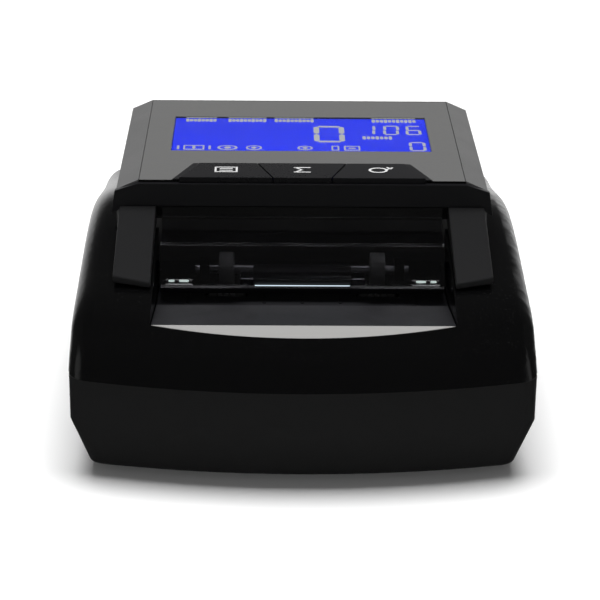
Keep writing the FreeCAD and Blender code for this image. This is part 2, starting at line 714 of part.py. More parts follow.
# ---------------------------------------------------------------- chassis, boards and drive
plates = {}
for side, sign in (("left", -1), ("right", 1)):
    inner, outer = S["plate_at"], S["plate_at"] + S["plate_thick"]
    span = (-outer, -inner) if sign < 0 else (inner, outer)
    plate = box(f"{side}_plate_sheet", span, (FRONT_SHAFT_Y - 14, REAR_SHAFT_Y + 14),
                (DECK, PATH - S["guide_thick"]))
    holes = [
        rod(f"{side}_bush_hole_{i}", "X", 3.6, span[0] - 1, span[1] + 1, y, SHAFT_Z)
        for i, y in enumerate((FRONT_SHAFT_Y, REAR_SHAFT_Y))
    ]
    if sign < 0:
        holes.append(rod("motor_hole", "X", 3.0, span[0] - 1, span[1] + 1, MOTOR_Y,
                         S["motor_height"]))
        holes += [
            rod(f"motor_screw_hole_{i}", "X", 1.1, span[0] - 1, span[1] + 1, MOTOR_Y + y,
                S["motor_height"]) for i, y in enumerate((-8.0, 8.0))
        ]
    node(f"{side}_plate", cut(f"{side}_plate_shape", plate, *holes))

bushes = []
for i, (sign, y) in enumerate((s, y) for s in (-1, 1) for y in (FRONT_SHAFT_Y, REAR_SHAFT_Y)):
    low, high = S["plate_at"] - 0.9, S["plate_at"] + S["plate_thick"] + 0.8
    low, high = (-high, -low) if sign < 0 else (low, high)
    bushes.append(cut(
        f"bush_{i}", rod(f"bush_body_{i}", "X", 3.6, low, high, y, SHAFT_Z),
        rod(f"bush_bore_{i}", "X", S["shaft_radius"] + S["running"], low - 1, high + 1,
            y, SHAFT_Z)))
node("shaft_bushes", together("bush_set", *bushes))

board = cut(
    "board_shape",
    box("board_sheet", (-49, 49), (back(26), back(116)), (BOARD_Z, BOARD_Z + S["board_thick"])),
    *[rod(f"board_hole_{i}", "Z", 1.5, BOARD_Z - 1, BOARD_Z + 3, x, y)
      for i, (x, y) in enumerate(board_spots)])
node("main_board", board)
BOARD_TOP = BOARD_Z + S["board_thick"]
node("board_screws", together("board_screw_set", *[
    fuse(f"board_screw_{i}",
         rod(f"board_screw_head_{i}", "Z", 2.6, BOARD_TOP, BOARD_TOP + 1.4, x, y),
         rod(f"board_screw_shank_{i}", "Z", 1.2, DECK + 0.4, BOARD_TOP + 0.2, x, y))
    for i, (x, y) in enumerate(board_spots)]))
node("board_chips", together("chip_set", *[
    box(f"chip_{i}", (x, x + wide), (back(y), back(y + deep)), (BOARD_TOP, BOARD_TOP + tall))
    for i, (x, y, wide, deep, tall) in enumerate(
        ((-8, 44, 14, 14, 1.6), (16, 60, 10, 8, 1.5), (-32, 50, 12, 6, 1.5)))]))
node("buzzer", cut("buzzer_can", rod("buzzer_body", "Z", 6.0, BOARD_TOP, BOARD_TOP + 7.5, 34,
                                     back(44)),
                   rod("buzzer_hole", "Z", 1.0, BOARD_TOP + 6, BOARD_TOP + 9, 34, back(44))))

MOTOR_FACE = -S["plate_at"]
motor_can = rod("motor_can", "X", S["motor_radius"], MOTOR_FACE,
                MOTOR_FACE + S["motor_length"], MOTOR_Y, S["motor_height"])
node("drive_motor", cut(
    "motor_body", motor_can,
    rod("motor_bore", "X", 1.5 + S["running"], MOTOR_FACE - 1, MOTOR_FACE + 22, MOTOR_Y,
        S["motor_height"]),
    *[rod(f"motor_thread_{i}", "X", 1.05, MOTOR_FACE - 1, MOTOR_FACE + 5, MOTOR_Y + y,
          S["motor_height"]) for i, y in enumerate((-8.0, 8.0))]))
PLATE_FACE = -(S["plate_at"] + S["plate_thick"])
node("motor_screws", together("motor_screw_set", *[
    fuse(f"motor_screw_{i}",
         rod(f"motor_screw_head_{i}", "X", 1.7, PLATE_FACE - 0.9, PLATE_FACE, MOTOR_Y + y,
             S["motor_height"]),
         rod(f"motor_screw_shank_{i}", "X", 1.0, PLATE_FACE - 0.1, MOTOR_FACE + 4.5,
             MOTOR_Y + y, S["motor_height"]))
    for i, y in enumerate((-8.0, 8.0))]))


def pulley(name, y, z, bore):
    """A flat-belt pulley with a bore for its shaft."""
    return cut(
        name,
        rod(name + "_rim", "X", S["pulley_radius"], BELT_X - S["belt_width"] / 2 - 0.3,
            BELT_X + S["belt_width"] / 2 + 0.3, y, z),
        rod(name + "_bore", "X", bore, BELT_X - 9, BELT_X + 9, y, z),
    )


SHAFT_END = S["plate_at"] + S["plate_thick"] + 6.4
for place_name, shaft_y in (("front", FRONT_SHAFT_Y), ("rear", REAR_SHAFT_Y)):
    node(f"{place_name}_drive_shaft", rod(
        f"{place_name}_shaft_rod", "X", S["shaft_radius"], -SHAFT_END, SHAFT_END, shaft_y,
        SHAFT_Z))
    rollers = []
    for i, x in enumerate((-ROLLER_X, ROLLER_X)):
        low, high = x - S["roller_width"] / 2, x + S["roller_width"] / 2
        rollers.append(cut(
            f"{place_name}_roller_{i}",
            turned(f"{place_name}_roller_body_{i}",
                   [(0, 0), (0, S["roller_radius"] - 0.6), (0.6, S["roller_radius"]),
                    (S["roller_width"] - 0.6, S["roller_radius"]),
                    (S["roller_width"], S["roller_radius"] - 0.6), (S["roller_width"], 0)],
                   low, shaft_y, SHAFT_Z),
            rod(f"{place_name}_roller_bore_{i}", "X", S["shaft_radius"], low - 1, high + 1,
                shaft_y, SHAFT_Z)))
    node(f"{place_name}_drive_rollers", together(f"{place_name}_roller_set", *rollers))
    node(f"{place_name}_pulley", pulley(f"{place_name}_pulley_shape", shaft_y, SHAFT_Z,
                                        S["shaft_radius"]))
node("motor_shaft", rod("motor_rod", "X", 1.5, BELT_X - 3, MOTOR_FACE + 21, MOTOR_Y,
                        S["motor_height"]))
node("motor_pulley", pulley("motor_pulley_shape", MOTOR_Y, S["motor_height"], Size(1.5)))
belt_points = [
    (float(y), float(z)) for y, z in
    ((FRONT_SHAFT_Y, SHAFT_Z), (MOTOR_Y, S["motor_height"]), (REAR_SHAFT_Y, SHAFT_Z))
]
node("drive_belt", moulded("belt_band", belt_loop(
    belt_points, float(S["pulley_radius"] + S["running"]),
    float(BELT_X - S["belt_width"] / 2), float(BELT_X + S["belt_width"] / 2))))

DISC_X = S["plate_at"] + S["plate_thick"] + 4.5
slots = [
    box(f"disc_slot_{i}", (DISC_X - 1, DISC_X + 2), (FRONT_SHAFT_Y - 0.5, FRONT_SHAFT_Y + 0.5),
        (SHAFT_Z + low, SHAFT_Z + low + 1.6)) for i, low in enumerate((3.4, -5.0))
]
node("encoder_disc", cut(
    "disc_shape", rod("disc_sheet", "X", 5.8, DISC_X, DISC_X + 0.8, FRONT_SHAFT_Y, SHAFT_Z),
    rod("disc_bore", "X", S["shaft_radius"], DISC_X - 1, DISC_X + 2, FRONT_SHAFT_Y, SHAFT_Z),
    *slots))
node("encoder_sensor", cut(
    "encoder_fork",
    box("encoder_block", (S["plate_at"] + S["plate_thick"], DISC_X + 3),
        (FRONT_SHAFT_Y - 3, FRONT_SHAFT_Y + 3), (SHAFT_Z - 9.5, SHAFT_Z - 3.8)),
    box("encoder_slot", (DISC_X - 1, DISC_X + 1.8), (FRONT_SHAFT_Y - 4, FRONT_SHAFT_Y + 4),
        (SHAFT_Z - 7.2, SHAFT_Z))))
node("lower_sensor_board", fuse(
    "lower_sensor_whole",
    box("lower_sensor_sheet", (-S["plate_at"], S["plate_at"]), (back(85), back(99)),
        (PATH - 5.6, PATH - 4.2)),
    box("lower_sensor_block", (-SENSOR_HALF + 1, SENSOR_HALF - 1), (back(89), back(95)),
        (PATH - 4.2, PATH - S["guide_thick"]))))


# ---------------------------------------------------------------- head
def head_section(name, distance, inset, hollow):
    """Cross-section of the head at a distance from the case's front, on an XZ sketch."""
    sketch = doc.addObject("Sketcher::SketchObject", name)
    sketch.Placement = Placement(
        Vector(0, float(back(distance)), 0), Rotation(Vector(1, 0, 0), 90))
    bind(sketch, "Placement.Base.y", back(distance))
    half, flat = HEAD_HALF - inset, S["face_width"] / 2 - inset * 0.45
    top = face_height(distance) - (inset + S["inlay_thick"] if hollow else 0)
    drop = S["bevel_drop"] - (S["inlay_thick"] if hollow else 0)
    foot = PATH + 2.5 - (3 if hollow else 0)
    outline(sketch, [(-half, foot), (half, foot), (half, top - drop), (flat, top),
                     (-flat, top), (-half, top - drop)])
    return sketch


def head_block(name, inset, hollow=False):
    """The head as a solid block between its front wall and the slanting rear wall."""
    near, far = S["head_front"] + inset, HEAD_FOOT_REAR + 2
    loft = doc.addObject("Part::Loft", name + "_loft")
    loft.Sections = [head_section(name + "_front", near, inset, hollow),
                     head_section(name + "_rear", far, inset, hollow)]
    loft.Solid = True
    loft.Ruled = True
    rear_trim = prism(
        name + "_rear_trim", "YZ_Plane",
        [(back(HEAD_TOP_REAR - inset) - 0.6, S["case_height"] + 8),
         (back(HEAD_FOOT_REAR - inset), PATH - 2), (back(HEAD_FOOT_REAR) + 9, PATH - 2),
         (back(HEAD_FOOT_REAR) + 9, S["case_height"] + 8)],
        -HEAD_HALF - 2, HEAD_HALF + 2)
    return cut(name, loft, rear_trim)


INLAY = S["inlay_thick"]
FACE_HALF = S["face_width"] / 2
GLASS_HALF = S["window_width"] / 2
GLASS_NEAR, GLASS_FAR = S["window_back"], S["window_back"] + S["window_height"]
KEY_NEAR, KEY_FAR = S["key_front"], S["key_rear"]
BEZEL_FAR = S["key_rear"] + 1.6


def trapezoid(near, far, near_left, near_right, far_left, far_right):
    """A plan outline with its own ends at the near and the far edge."""
    return [(near_left, back(near)), (near_right, back(near)),
            (far_right, back(far)), (far_left, back(far))]


def key_solid(name, corners, top, bottom):
    """An upright plan outline trimmed to a plate parallel to the display face."""
    upright = prism(name + "_plan", "XY_Plane", corners, PATH, WALL_TOP + 30)
    level = slab(name + "_level", KEY_NEAR - 4, BEZEL_FAR + 4, top, bottom, -HEAD_HALF, HEAD_HALF)
    return common(name, upright, level)


head_holes = [
    slab("face_pocket", S["head_front"] - 2, HEAD_TOP_REAR - 0.25, 6, -INLAY,
         -FACE_HALF + 0.1, FACE_HALF - 0.1),
    slab("glass_hole", GLASS_NEAR, GLASS_FAR, 3, -9, -GLASS_HALF, GLASS_HALF),
    slab("key_hole", S["head_front"] - 0.5, KEY_FAR + 0.5, 3, -INLAY - 3.5, -40.6, 40.6),
    box("throat_hole", (-TRAY_HALF + 0.2, TRAY_HALF - 0.2),
        (back(S["head_front"] - 1), back(S["head_front"] + 6)), (PATH, UPPER_PATH + 4.2)),
]
for i, sign in enumerate((-1, 1)):
    span = (-(HEAD_HALF + 1), -(HEAD_HALF - 6)) if sign < 0 else (HEAD_HALF - 6, HEAD_HALF + 1)
    head_holes.append(rod(f"hinge_bore_{i}", "X", S["pin_radius"] + S["pin_clearance"],
                          span[0], span[1], HINGE_Y, S["hinge_height"]))
hinge_bosses = []
for i, sign in enumerate((-1, 1)):
    span = (-(HEAD_HALF - 0.5), -(HEAD_HALF - 5)) if sign < 0 else (HEAD_HALF - 5,
                                                                   HEAD_HALF - 0.5)
    hinge_bosses.append(rod(f"hinge_boss_{i}", "X", S["pin_radius"] + 2.4, span[0], span[1],
                            HINGE_Y, S["hinge_height"]))
node("head_cover", cut(
    "head_cover_shape",
    fuse("head_with_bosses",
         cut("head_shell", head_block("head_outer", size(0)),
             head_block("head_hollow", S["head_wall"], True)),
         *hinge_bosses),
    *head_holes))

bezel_corners = trapezoid(S["head_front"], BEZEL_FAR, -41.4, 41.4, -35.4, 35.4)
key_corners = trapezoid(KEY_NEAR, KEY_FAR, -39.6, 39.6, -33.6, 33.6)
panel = cut(
    "panel_shape",
    slab("panel_sheet", S["head_front"], HEAD_TOP_REAR - 0.4, 0, -INLAY,
         -FACE_HALF + 0.25, FACE_HALF - 0.25),
    slab("panel_glass_hole", GLASS_NEAR, GLASS_FAR, 3, -9, -GLASS_HALF, GLASS_HALF),
    prism("panel_bezel_hole", "XY_Plane", trapezoid(
        S["head_front"] - 4, BEZEL_FAR + 0.15, -43.6, 43.6, -35.6, 35.6), PATH, WALL_TOP + 30))
node("display_panel", panel)

BAND_BOTTOM = S["face_front_height"] - 8.2
band_outline = [
    (52.6, S["face_front_height"] - 0.8), (59.9, S["face_front_height"] - 3.2),
    (61.1, S["face_front_height"] - 11.1), (58.8, S["face_front_height"] - 9.6),
    (57.6, BAND_BOTTOM),
]
band_outline = band_outline + [(-x, z) for x, z in reversed(band_outline)]
band_plate = prism("band_plate", "XZ_Plane", band_outline, back(S["head_front"] - 2),
                   back(S["head_front"]))
node("front_band", cut(
    "band_shape",
    fuse("band_whole", band_plate, key_solid("bezel", bezel_corners, 0.3, -INLAY)),
    prism("key_opening", "XY_Plane", key_corners, BAND_BOTTOM + 4.6, WALL_TOP + 30)))

GAP = S["key_gap"]
keys = {
    "report_button": trapezoid(KEY_NEAR + GAP, KEY_FAR - GAP, -39.35, -9.65, -33.35, -14.75),
    "sum_button": trapezoid(KEY_NEAR + GAP, KEY_FAR - GAP, -9.15, 9.15, -14.25, 14.25),
    "reset_button": trapezoid(KEY_NEAR + GAP, KEY_FAR - GAP, 9.65, 39.35, 14.75, 33.35),
}
KEY_MIDDLE = 77.5
STEM_TOP = face_height(KEY_MIDDLE)
STEM_FOOT = STEM_TOP - 3.6
for label, corners in keys.items():
    stem_x = {"report_button": -24.0, "sum_button": 0.0, "reset_button": 24.0}[label]
    node(label, fuse(
        label + "_whole", key_solid(label + "_cap", corners, 1.1, -INLAY),
        rod(label + "_stem", "Z", 1.6, STEM_FOOT, STEM_TOP - 0.5, stem_x,
            back(KEY_MIDDLE))))
node("key_board", slab("key_board_sheet", 74.5, 88.5, -8.4, -10.0, -HEAD_HALF + 2, HEAD_HALF - 2))
switches = []
for i, x in enumerate((-24.0, 0.0, 24.0)):
    switches.append(fuse(
        f"key_switch_{i}",
        slab(f"key_switch_body_{i}", 74.6, 80.4, -5.4, -8.4, x - 3, x + 3),
        rod(f"key_switch_tip_{i}", "Z", 1.4, STEM_TOP - 6, STEM_FOOT - S["key_travel"] - 0.2, x,
            back(KEY_MIDDLE))))
node("key_switches", together("key_switch_set", *switches))

ROOF = INLAY + S["head_wall"]
node("lcd_window", slab("lcd_window_sheet", GLASS_NEAR + 0.15, GLASS_FAR - 0.15, -0.25, -1.1,
                        -GLASS_HALF + 0.15, GLASS_HALF - 0.15))
node("lcd_module", fuse(
    "lcd_module_whole",
    slab("lcd_glass", GLASS_NEAR + 0.25, GLASS_FAR - 0.25, -1.15, -ROOF - 0.2,
         -GLASS_HALF + 0.25, GLASS_HALF - 0.25),
    slab("lcd_frame", GLASS_NEAR - 3, GLASS_FAR + 3, -ROOF - 0.05, -ROOF - 4.5,
         -GLASS_HALF - 4, GLASS_HALF + 4)))
node("display_board", slab("display_board_sheet", GLASS_NEAR - 5, GLASS_FAR + 5, -ROOF - 4.5,
                           -ROOF - 6.1, -HEAD_HALF + 2, HEAD_HALF - 2))

# ---------------------------------------------------------------- throat: arms, window, guide
ARM_TOP = BAND_BOTTOM - 0.05
ARM_IN, ARM_OUT = size(46.7), size(58.4)
arm_profile = [
    (back(S["head_front"]), ARM_TOP), (back(67.6), ARM_TOP), (back(31), 53.5), (back(31), 51.9),
    (back(45), 55.2), (back(58), 58.0), (back(S["head_front"]), 61.0),
]


def arm(side, sign):
    """One of the two arms that come down beside the throat, with an oblique front end."""
    inner, outer = sign * ARM_IN, sign * ARM_OUT
    corners = [(inner, back(33.2)), (outer, back(36.2)), (outer, back(S["head_front"])),
               (inner, back(S["head_front"]))]
    side_view = prism(f"{side}_arm_side", "YZ_Plane", arm_profile, -ARM_OUT - 1, ARM_OUT + 1)
    plan = prism(f"{side}_arm_plan", "XY_Plane", corners if sign > 0 else corners[::-1], PATH,
                 WALL_TOP + 9)
    return common(f"{side}_arm_shape", side_view, plan)


node("left_arm", arm("left", -1))
node("right_arm", arm("right", 1))

WINDOW_HALF = TRAY_HALF - 1.0
window_profile = [
    (back(S["head_front"]), ARM_TOP), (back(68.4), ARM_TOP), (back(66.2), 60.2),
    (back(56.2), 59.4), (back(47.6), 48.5), (back(48.9), 47.6), (back(57.2), 57.9),
    (back(67.8), 58.8), (back(69.6), 62.6), (back(S["head_front"]), 63.0),
]
window_flanges = [
    box(f"window_flange_{i}", span, (back(68.9), back(S["head_front"])), (63.2, ARM_TOP))
    for i, span in enumerate(((-ARM_IN, -WINDOW_HALF + 1), (WINDOW_HALF - 1, ARM_IN)))
]
node("throat_window", fuse(
    "window_whole",
    cut("window_shape",
        prism("window_sheet", "YZ_Plane", window_profile, -WINDOW_HALF, WINDOW_HALF),
        box("window_notch", (-19.5, 19.5), (back(40), back(50.2)), (PATH, 52))),
    *window_flanges))

GUIDE_TOP = UPPER_PATH + S["guide_thick"]
upper_plate = fuse(
    "upper_guide_sheet",
    prism("upper_guide_neck", "YZ_Plane",
          [(back(53), UPPER_PATH), (back(78), UPPER_PATH), (back(78), GUIDE_TOP),
           (back(53.6), GUIDE_TOP), (back(50.6), 47.3), (back(49.2), 46.6)],
          -WINDOW_HALF, WINDOW_HALF),
    prism("upper_guide_deck", "YZ_Plane",
          [(back(S["head_front"] + 2.2), UPPER_PATH), (REAR - 16, UPPER_PATH),
           (REAR - 11, UPPER_PATH + 1.4), (REAR - 11, GUIDE_TOP + 1), (REAR - 17, GUIDE_TOP),
           (back(S["head_front"] + 2.2), GUIDE_TOP)],
          -HEAD_HALF + S["head_wall"], HEAD_HALF - S["head_wall"]))
upper_windows = [
    box(f"pinch_window_{i}", (x - 3.4, x + 3.4), (y - 6.2, y + 6.2), (PATH, GUIDE_TOP + 3))
    for i, (x, y) in enumerate(
        (sx, sy) for sx in (-ROLLER_X, ROLLER_X) for sy in (FRONT_SHAFT_Y, REAR_SHAFT_Y))
]
upper_windows.append(box("upper_sensor_hole", (-SENSOR_HALF - 0.15, SENSOR_HALF + 0.15),
                         (back(SENSOR_FRONT - 0.15), back(SENSOR_REAR + 0.15)),
                         (PATH, GUIDE_TOP + 2)))
for i, x in enumerate((-36.0, 0.0, 36.0)):
    upper_windows.append(box(f"magnet_hole_{i}", (x - 5.15, x + 5.15), (back(101.85), back(108.15)),
                             (PATH, GUIDE_TOP + 2)))
for i, sign in enumerate((-1, 1)):
    span = (-(HEAD_HALF), -(HEAD_HALF - 6)) if sign < 0 else (HEAD_HALF - 6, HEAD_HALF)
    upper_windows.append(box(f"boss_relief_{i}", span, (REAR - 16.5, REAR - 10),
                             (PATH, GUIDE_TOP + 3)))
node("upper_guide", cut("upper_guide_shape", upper_plate, *upper_windows))
node("upper_sensor_window", box(
    "upper_window_plate", (-SENSOR_HALF, SENSOR_HALF), (back(SENSOR_FRONT), back(SENSOR_REAR)),
    (UPPER_PATH + 0.1, GUIDE_TOP)))
node("magnetic_heads", together("magnet_set", *[
    box(f"magnet_{i}", (x - 5, x + 5), (back(102), back(108)), (UPPER_PATH + 0.05, GUIDE_TOP + 6))
    for i, x in enumerate((-36.0, 0.0, 36.0))]))
node("upper_sensor_board", fuse(
    "upper_sensor_whole",
    box("upper_sensor_block", (-SENSOR_HALF + 1, SENSOR_HALF - 1), (back(89), back(95)),
        (GUIDE_TOP, GUIDE_TOP + 3)),
    box("upper_sensor_sheet", (-HEAD_HALF + S["head_wall"], HEAD_HALF - S["head_wall"]),
        (back(84), back(100)), (GUIDE_TOP + 3, GUIDE_TOP + 4.6))))
node("entry_sensor_bar", prism(
    "entry_bar_shape", "YZ_Plane",
    [(back(50.8), 47.5), (back(54), GUIDE_TOP), (back(57), GUIDE_TOP), (back(57), 51.5),
     (back(52.4), 50.2), (back(50.6), 48.6)], -15.5, 15.5))
node("entry_sensor_lenses", together("lens_set", *[
    box(f"entry_lens_{i}", (x - 4.2, x + 4.2), (back(46.4), back(47.5)), (48.7, 50.2))
    for i, x in enumerate((-38.6, 38.6))]))

for place_name, shaft_y in (("front", FRONT_SHAFT_Y), ("rear", REAR_SHAFT_Y)):
    node(f"{place_name}_pinch_shaft", rod(
        f"{place_name}_pinch_rod", "X", S["pinch_shaft_radius"], -34, 34, shaft_y, PINCH_Z))
    wheels = []
    for i, x in enumerate((-ROLLER_X, ROLLER_X)):
        low, high = x - S["pinch_width"] / 2, x + S["pinch_width"] / 2
        wheels.append(cut(
            f"{place_name}_wheel_{i}",
            rod(f"{place_name}_wheel_body_{i}", "X", S["pinch_radius"], low, high, shaft_y,
                PINCH_Z),
            rod(f"{place_name}_wheel_bore_{i}", "X", S["pinch_shaft_radius"], low - 1, high + 1,
                shaft_y, PINCH_Z)))
    node(f"{place_name}_pinch_rollers", together(f"{place_name}_wheel_set", *wheels))
saddles = []
for i, (x, y) in enumerate((sx, sy) for sx in (-31.0, 31.0) for sy in (FRONT_SHAFT_Y,
                                                                      REAR_SHAFT_Y)):
    saddles.append(cut(
        f"saddle_{i}", box(f"saddle_block_{i}", (x - 1.5, x + 1.5), (y - 3.4, y + 3.4),
                           (GUIDE_TOP, PINCH_Z + 2.9)),
        rod(f"saddle_bore_{i}", "X", S["pinch_shaft_radius"] + S["running"], x - 3, x + 3, y,
            PINCH_Z)))
node("pinch_saddles", together("saddle_set", *saddles))

# ---------------------------------------------------------------- write the node files
doc.recompute()
broken = [obj.Name for obj in doc.Objects if {"Invalid", "Error"} & set(obj.State)]
if broken:
    raise RuntimeError(f"objects that did not build: {broken}")
os.makedirs("parts", exist_ok=True)
for label, obj in nodes.items():
    shape = obj.Shape
    if shape.isNull() or not shape.isValid() or not shape.Solids:
        raise RuntimeError(f"{label} is not a valid solid")
    if obj.Label != label:
        raise RuntimeError(f"{label} has the label {obj.Label}")
    shape.exportStep(os.path.join("parts", f"{label}.step"))
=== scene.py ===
import json
import logging
import math
from collections.abc import Iterable
from dataclasses import dataclass
from enum import Enum

import bmesh
import bpy
from mathutils import Euler, Matrix, Vector


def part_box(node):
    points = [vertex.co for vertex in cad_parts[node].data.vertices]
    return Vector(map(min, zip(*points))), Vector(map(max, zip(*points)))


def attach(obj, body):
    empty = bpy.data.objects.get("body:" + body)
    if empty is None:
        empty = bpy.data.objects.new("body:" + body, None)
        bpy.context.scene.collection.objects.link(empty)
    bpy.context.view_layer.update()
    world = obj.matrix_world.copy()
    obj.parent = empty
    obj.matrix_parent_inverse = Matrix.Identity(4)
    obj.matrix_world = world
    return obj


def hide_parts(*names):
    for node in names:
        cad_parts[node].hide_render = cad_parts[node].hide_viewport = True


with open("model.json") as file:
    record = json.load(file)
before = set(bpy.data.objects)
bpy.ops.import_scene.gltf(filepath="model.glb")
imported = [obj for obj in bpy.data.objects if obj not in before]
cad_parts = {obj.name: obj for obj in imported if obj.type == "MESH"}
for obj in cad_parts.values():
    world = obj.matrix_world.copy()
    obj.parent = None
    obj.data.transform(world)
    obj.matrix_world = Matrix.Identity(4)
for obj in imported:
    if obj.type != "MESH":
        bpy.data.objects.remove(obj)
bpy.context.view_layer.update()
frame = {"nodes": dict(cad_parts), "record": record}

log = logging.getLogger("banknote_detector")
MM = 0.001
Tree = bpy.types.NodeTree
Node = bpy.types.Node
Socket = bpy.types.NodeSocket
Profile = list[tuple[float, float]]


# ------------------------------------------------------------------ shared shader groups
def start_group(name: str, inputs: dict[str, float], outputs: tuple[str, ...]) -> tuple:
    """Starts a shader node group.

    Args:
        name: name of the group.
        inputs: input socket names and their defaults.
        outputs: output socket names.

    Returns:
        The group tree, its input node and its output node.
    """
    tree = bpy.data.node_groups.new(name, "ShaderNodeTree")
    for label, value in inputs.items():
        socket = tree.interface.new_socket(label, in_out="INPUT", socket_type="NodeSocketFloat")
        socket.default_value = value
    for label in outputs:
        tree.interface.new_socket(label, in_out="OUTPUT", socket_type="NodeSocketFloat")
    return tree, tree.nodes.new("NodeGroupInput"), tree.nodes.new("NodeGroupOutput")


def math_node(tree: Tree, kind: str, first: Socket | float, second: Socket | float) -> Socket:
    """Adds a Math node.

    Args:
        tree: the node tree.
        kind: the operation.
        first: its first value.
        second: its second value.

    Returns:
        The node's output.
    """
    node = tree.nodes.new("ShaderNodeMath")
    node.operation = kind
    for slot, value in enumerate((first, second)):
        if isinstance(value, float):
            node.inputs[slot].default_value = value
        else:
            tree.links.new(value, node.inputs[slot])
    return node.outputs[0]


def noise_node(tree: Tree, scale: float, detail: float = 2.0,
               stretch: tuple[float, float, float] = (1.0, 1.0, 1.0)) -> Node:
    """Adds a noise texture in object coordinates.

    Args:
        tree: the node tree.
        scale: its scale.
        detail: its octaves.
        stretch: a further scale along each axis.

    Returns:
        The texture node.
    """
    node = tree.nodes.new("ShaderNodeTexNoise")
    node.inputs["Scale"].default_value = scale
    node.inputs["Detail"].default_value = detail
    mapping = tree.nodes.new("ShaderNodeMapping")
    mapping.inputs["Scale"].default_value = stretch
    place = tree.nodes.new("ShaderNodeTexCoord")
    tree.links.new(place.outputs["Object"], mapping.inputs["Vector"])
    tree.links.new(mapping.outputs["Vector"], node.inputs["Vector"])
    return node


def start_material(name: str) -> tuple:
    """Starts a material.

    Args:
        name: name of the material.

    Returns:
        The material, its tree and its shader.
    """
    material = bpy.data.materials.new(name)
    material.use_nodes = True
    tree = material.node_tree
    return material, tree, tree.nodes["Principled BSDF"]


def shared_node(tree: Tree, group: Tree) -> Node:
    """Adds a node that uses a shared group.

    Args:
        tree: the material's tree.
        group: the shared group.

    Returns:
        The node.
    """
    node = tree.nodes.new("ShaderNodeGroup")
    node.node_tree = group
    return node


def feed_tint(tree: Tree, colours: tuple, mask: Socket, target: Socket) -> None:
    """Feeds a colour input with two colours mixed by a mask.

    Args:
        tree: the material's tree.
        colours: the colours where the mask is 0 and 1.
        mask: the mask.
        target: the input that takes the mixed colour.
    """
    node = tree.nodes.new("ShaderNodeMix")
    node.data_type = "RGBA"
    for slot, colour in zip("AB", colours):
        node.inputs[slot].default_value = (*colour, 1.0)
    tree.links.new(mask, node.inputs["Factor"])
    tree.links.new(node.outputs["Result"], target)


def feed_roughness(tree: Tree, base: float, masks: Iterable, shader: Node) -> None:
    """Feeds a shader's roughness.

    Args:
        tree: the material's tree.
        base: the roughness where every mask is 0.
        masks: each mask with what it adds where it is 1.
        shader: the shader.
    """
    total = base
    for mask, share in masks:
        total = math_node(tree, "ADD", math_node(tree, "MULTIPLY", mask, share), total)
    tree.links.new(total, shader.inputs["Roughness"])


def feed_bump(tree: Tree, height: Socket, depth: float, shader: Node) -> None:
    """Gives a shader's surface some relief.

    Args:
        tree: the material's tree.
        height: the relief from 0 to 1.
        depth: its depth in millimetres.
        shader: the shader.
    """
    node = tree.nodes.new("ShaderNodeBump")
    node.inputs["Distance"].default_value = depth * MM
    tree.links.new(height, node.inputs["Height"])
    tree.links.new(node.outputs["Normal"], shader.inputs["Normal"])


def build_grain_group() -> Tree:
    """The spark-eroded grain of a moulded surface.

    Returns:
        A group that puts out Height for a Bump node and Tone, which spreads the roughness.
    """
    tree, start, end = start_group("moulded_grain", {"Scale": 900.0, "Waviness": 0.2},
                                   ("Height", "Tone"))
    fine, coarse = noise_node(tree, 900.0, 3.0), noise_node(tree, 60.0)
    tree.links.new(start.outputs["Scale"], fine.inputs["Scale"])
    waves = math_node(tree, "MULTIPLY", coarse.outputs["Fac"], start.outputs["Waviness"])
    tree.links.new(math_node(tree, "ADD", fine.outputs["Fac"], waves), end.inputs["Height"])
    tree.links.new(fine.outputs["Fac"], end.inputs["Tone"])
    return tree


def build_handling_group() -> Tree:
    """Faint smudges and settled dust.

    Returns:
        A group that puts out Smudge and Dust masks from 0 to 1.
    """
    tree, start, end = start_group("handling_marks", {"Scale": 35.0}, ("Smudge", "Dust"))
    cloud = noise_node(tree, 35.0, 5.0)
    cloud.inputs["Distortion"].default_value = 0.6
    tree.links.new(start.outputs["Scale"], cloud.inputs["Scale"])
    ramp = tree.nodes.new("ShaderNodeMapRange")
    ramp.inputs["From Min"].default_value = 0.45
    ramp.inputs["From Max"].default_value = 0.75
    tree.links.new(cloud.outputs["Fac"], ramp.inputs["Value"])
    tree.links.new(ramp.outputs["Result"], end.inputs["Smudge"])
    specks = tree.nodes.new("ShaderNodeTexVoronoi")
    specks.inputs["Scale"].default_value = 700.0
    place = tree.nodes.new("ShaderNodeTexCoord")
    tree.links.new(place.outputs["Object"], specks.inputs["Vector"])
    near = math_node(tree, "LESS_THAN", specks.outputs["Distance"], 0.12)
    normal = tree.nodes.new("ShaderNodeNewGeometry")
    split = tree.nodes.new("ShaderNodeSeparateXYZ")
    tree.links.new(normal.outputs["Normal"], split.inputs["Vector"])
    upward = math_node(tree, "MAXIMUM", split.outputs["Z"], 0.0)
    tree.links.new(math_node(tree, "MULTIPLY", near, upward), end.inputs["Dust"])
    return tree


GRAIN = build_grain_group()
HANDLING = build_handling_group()


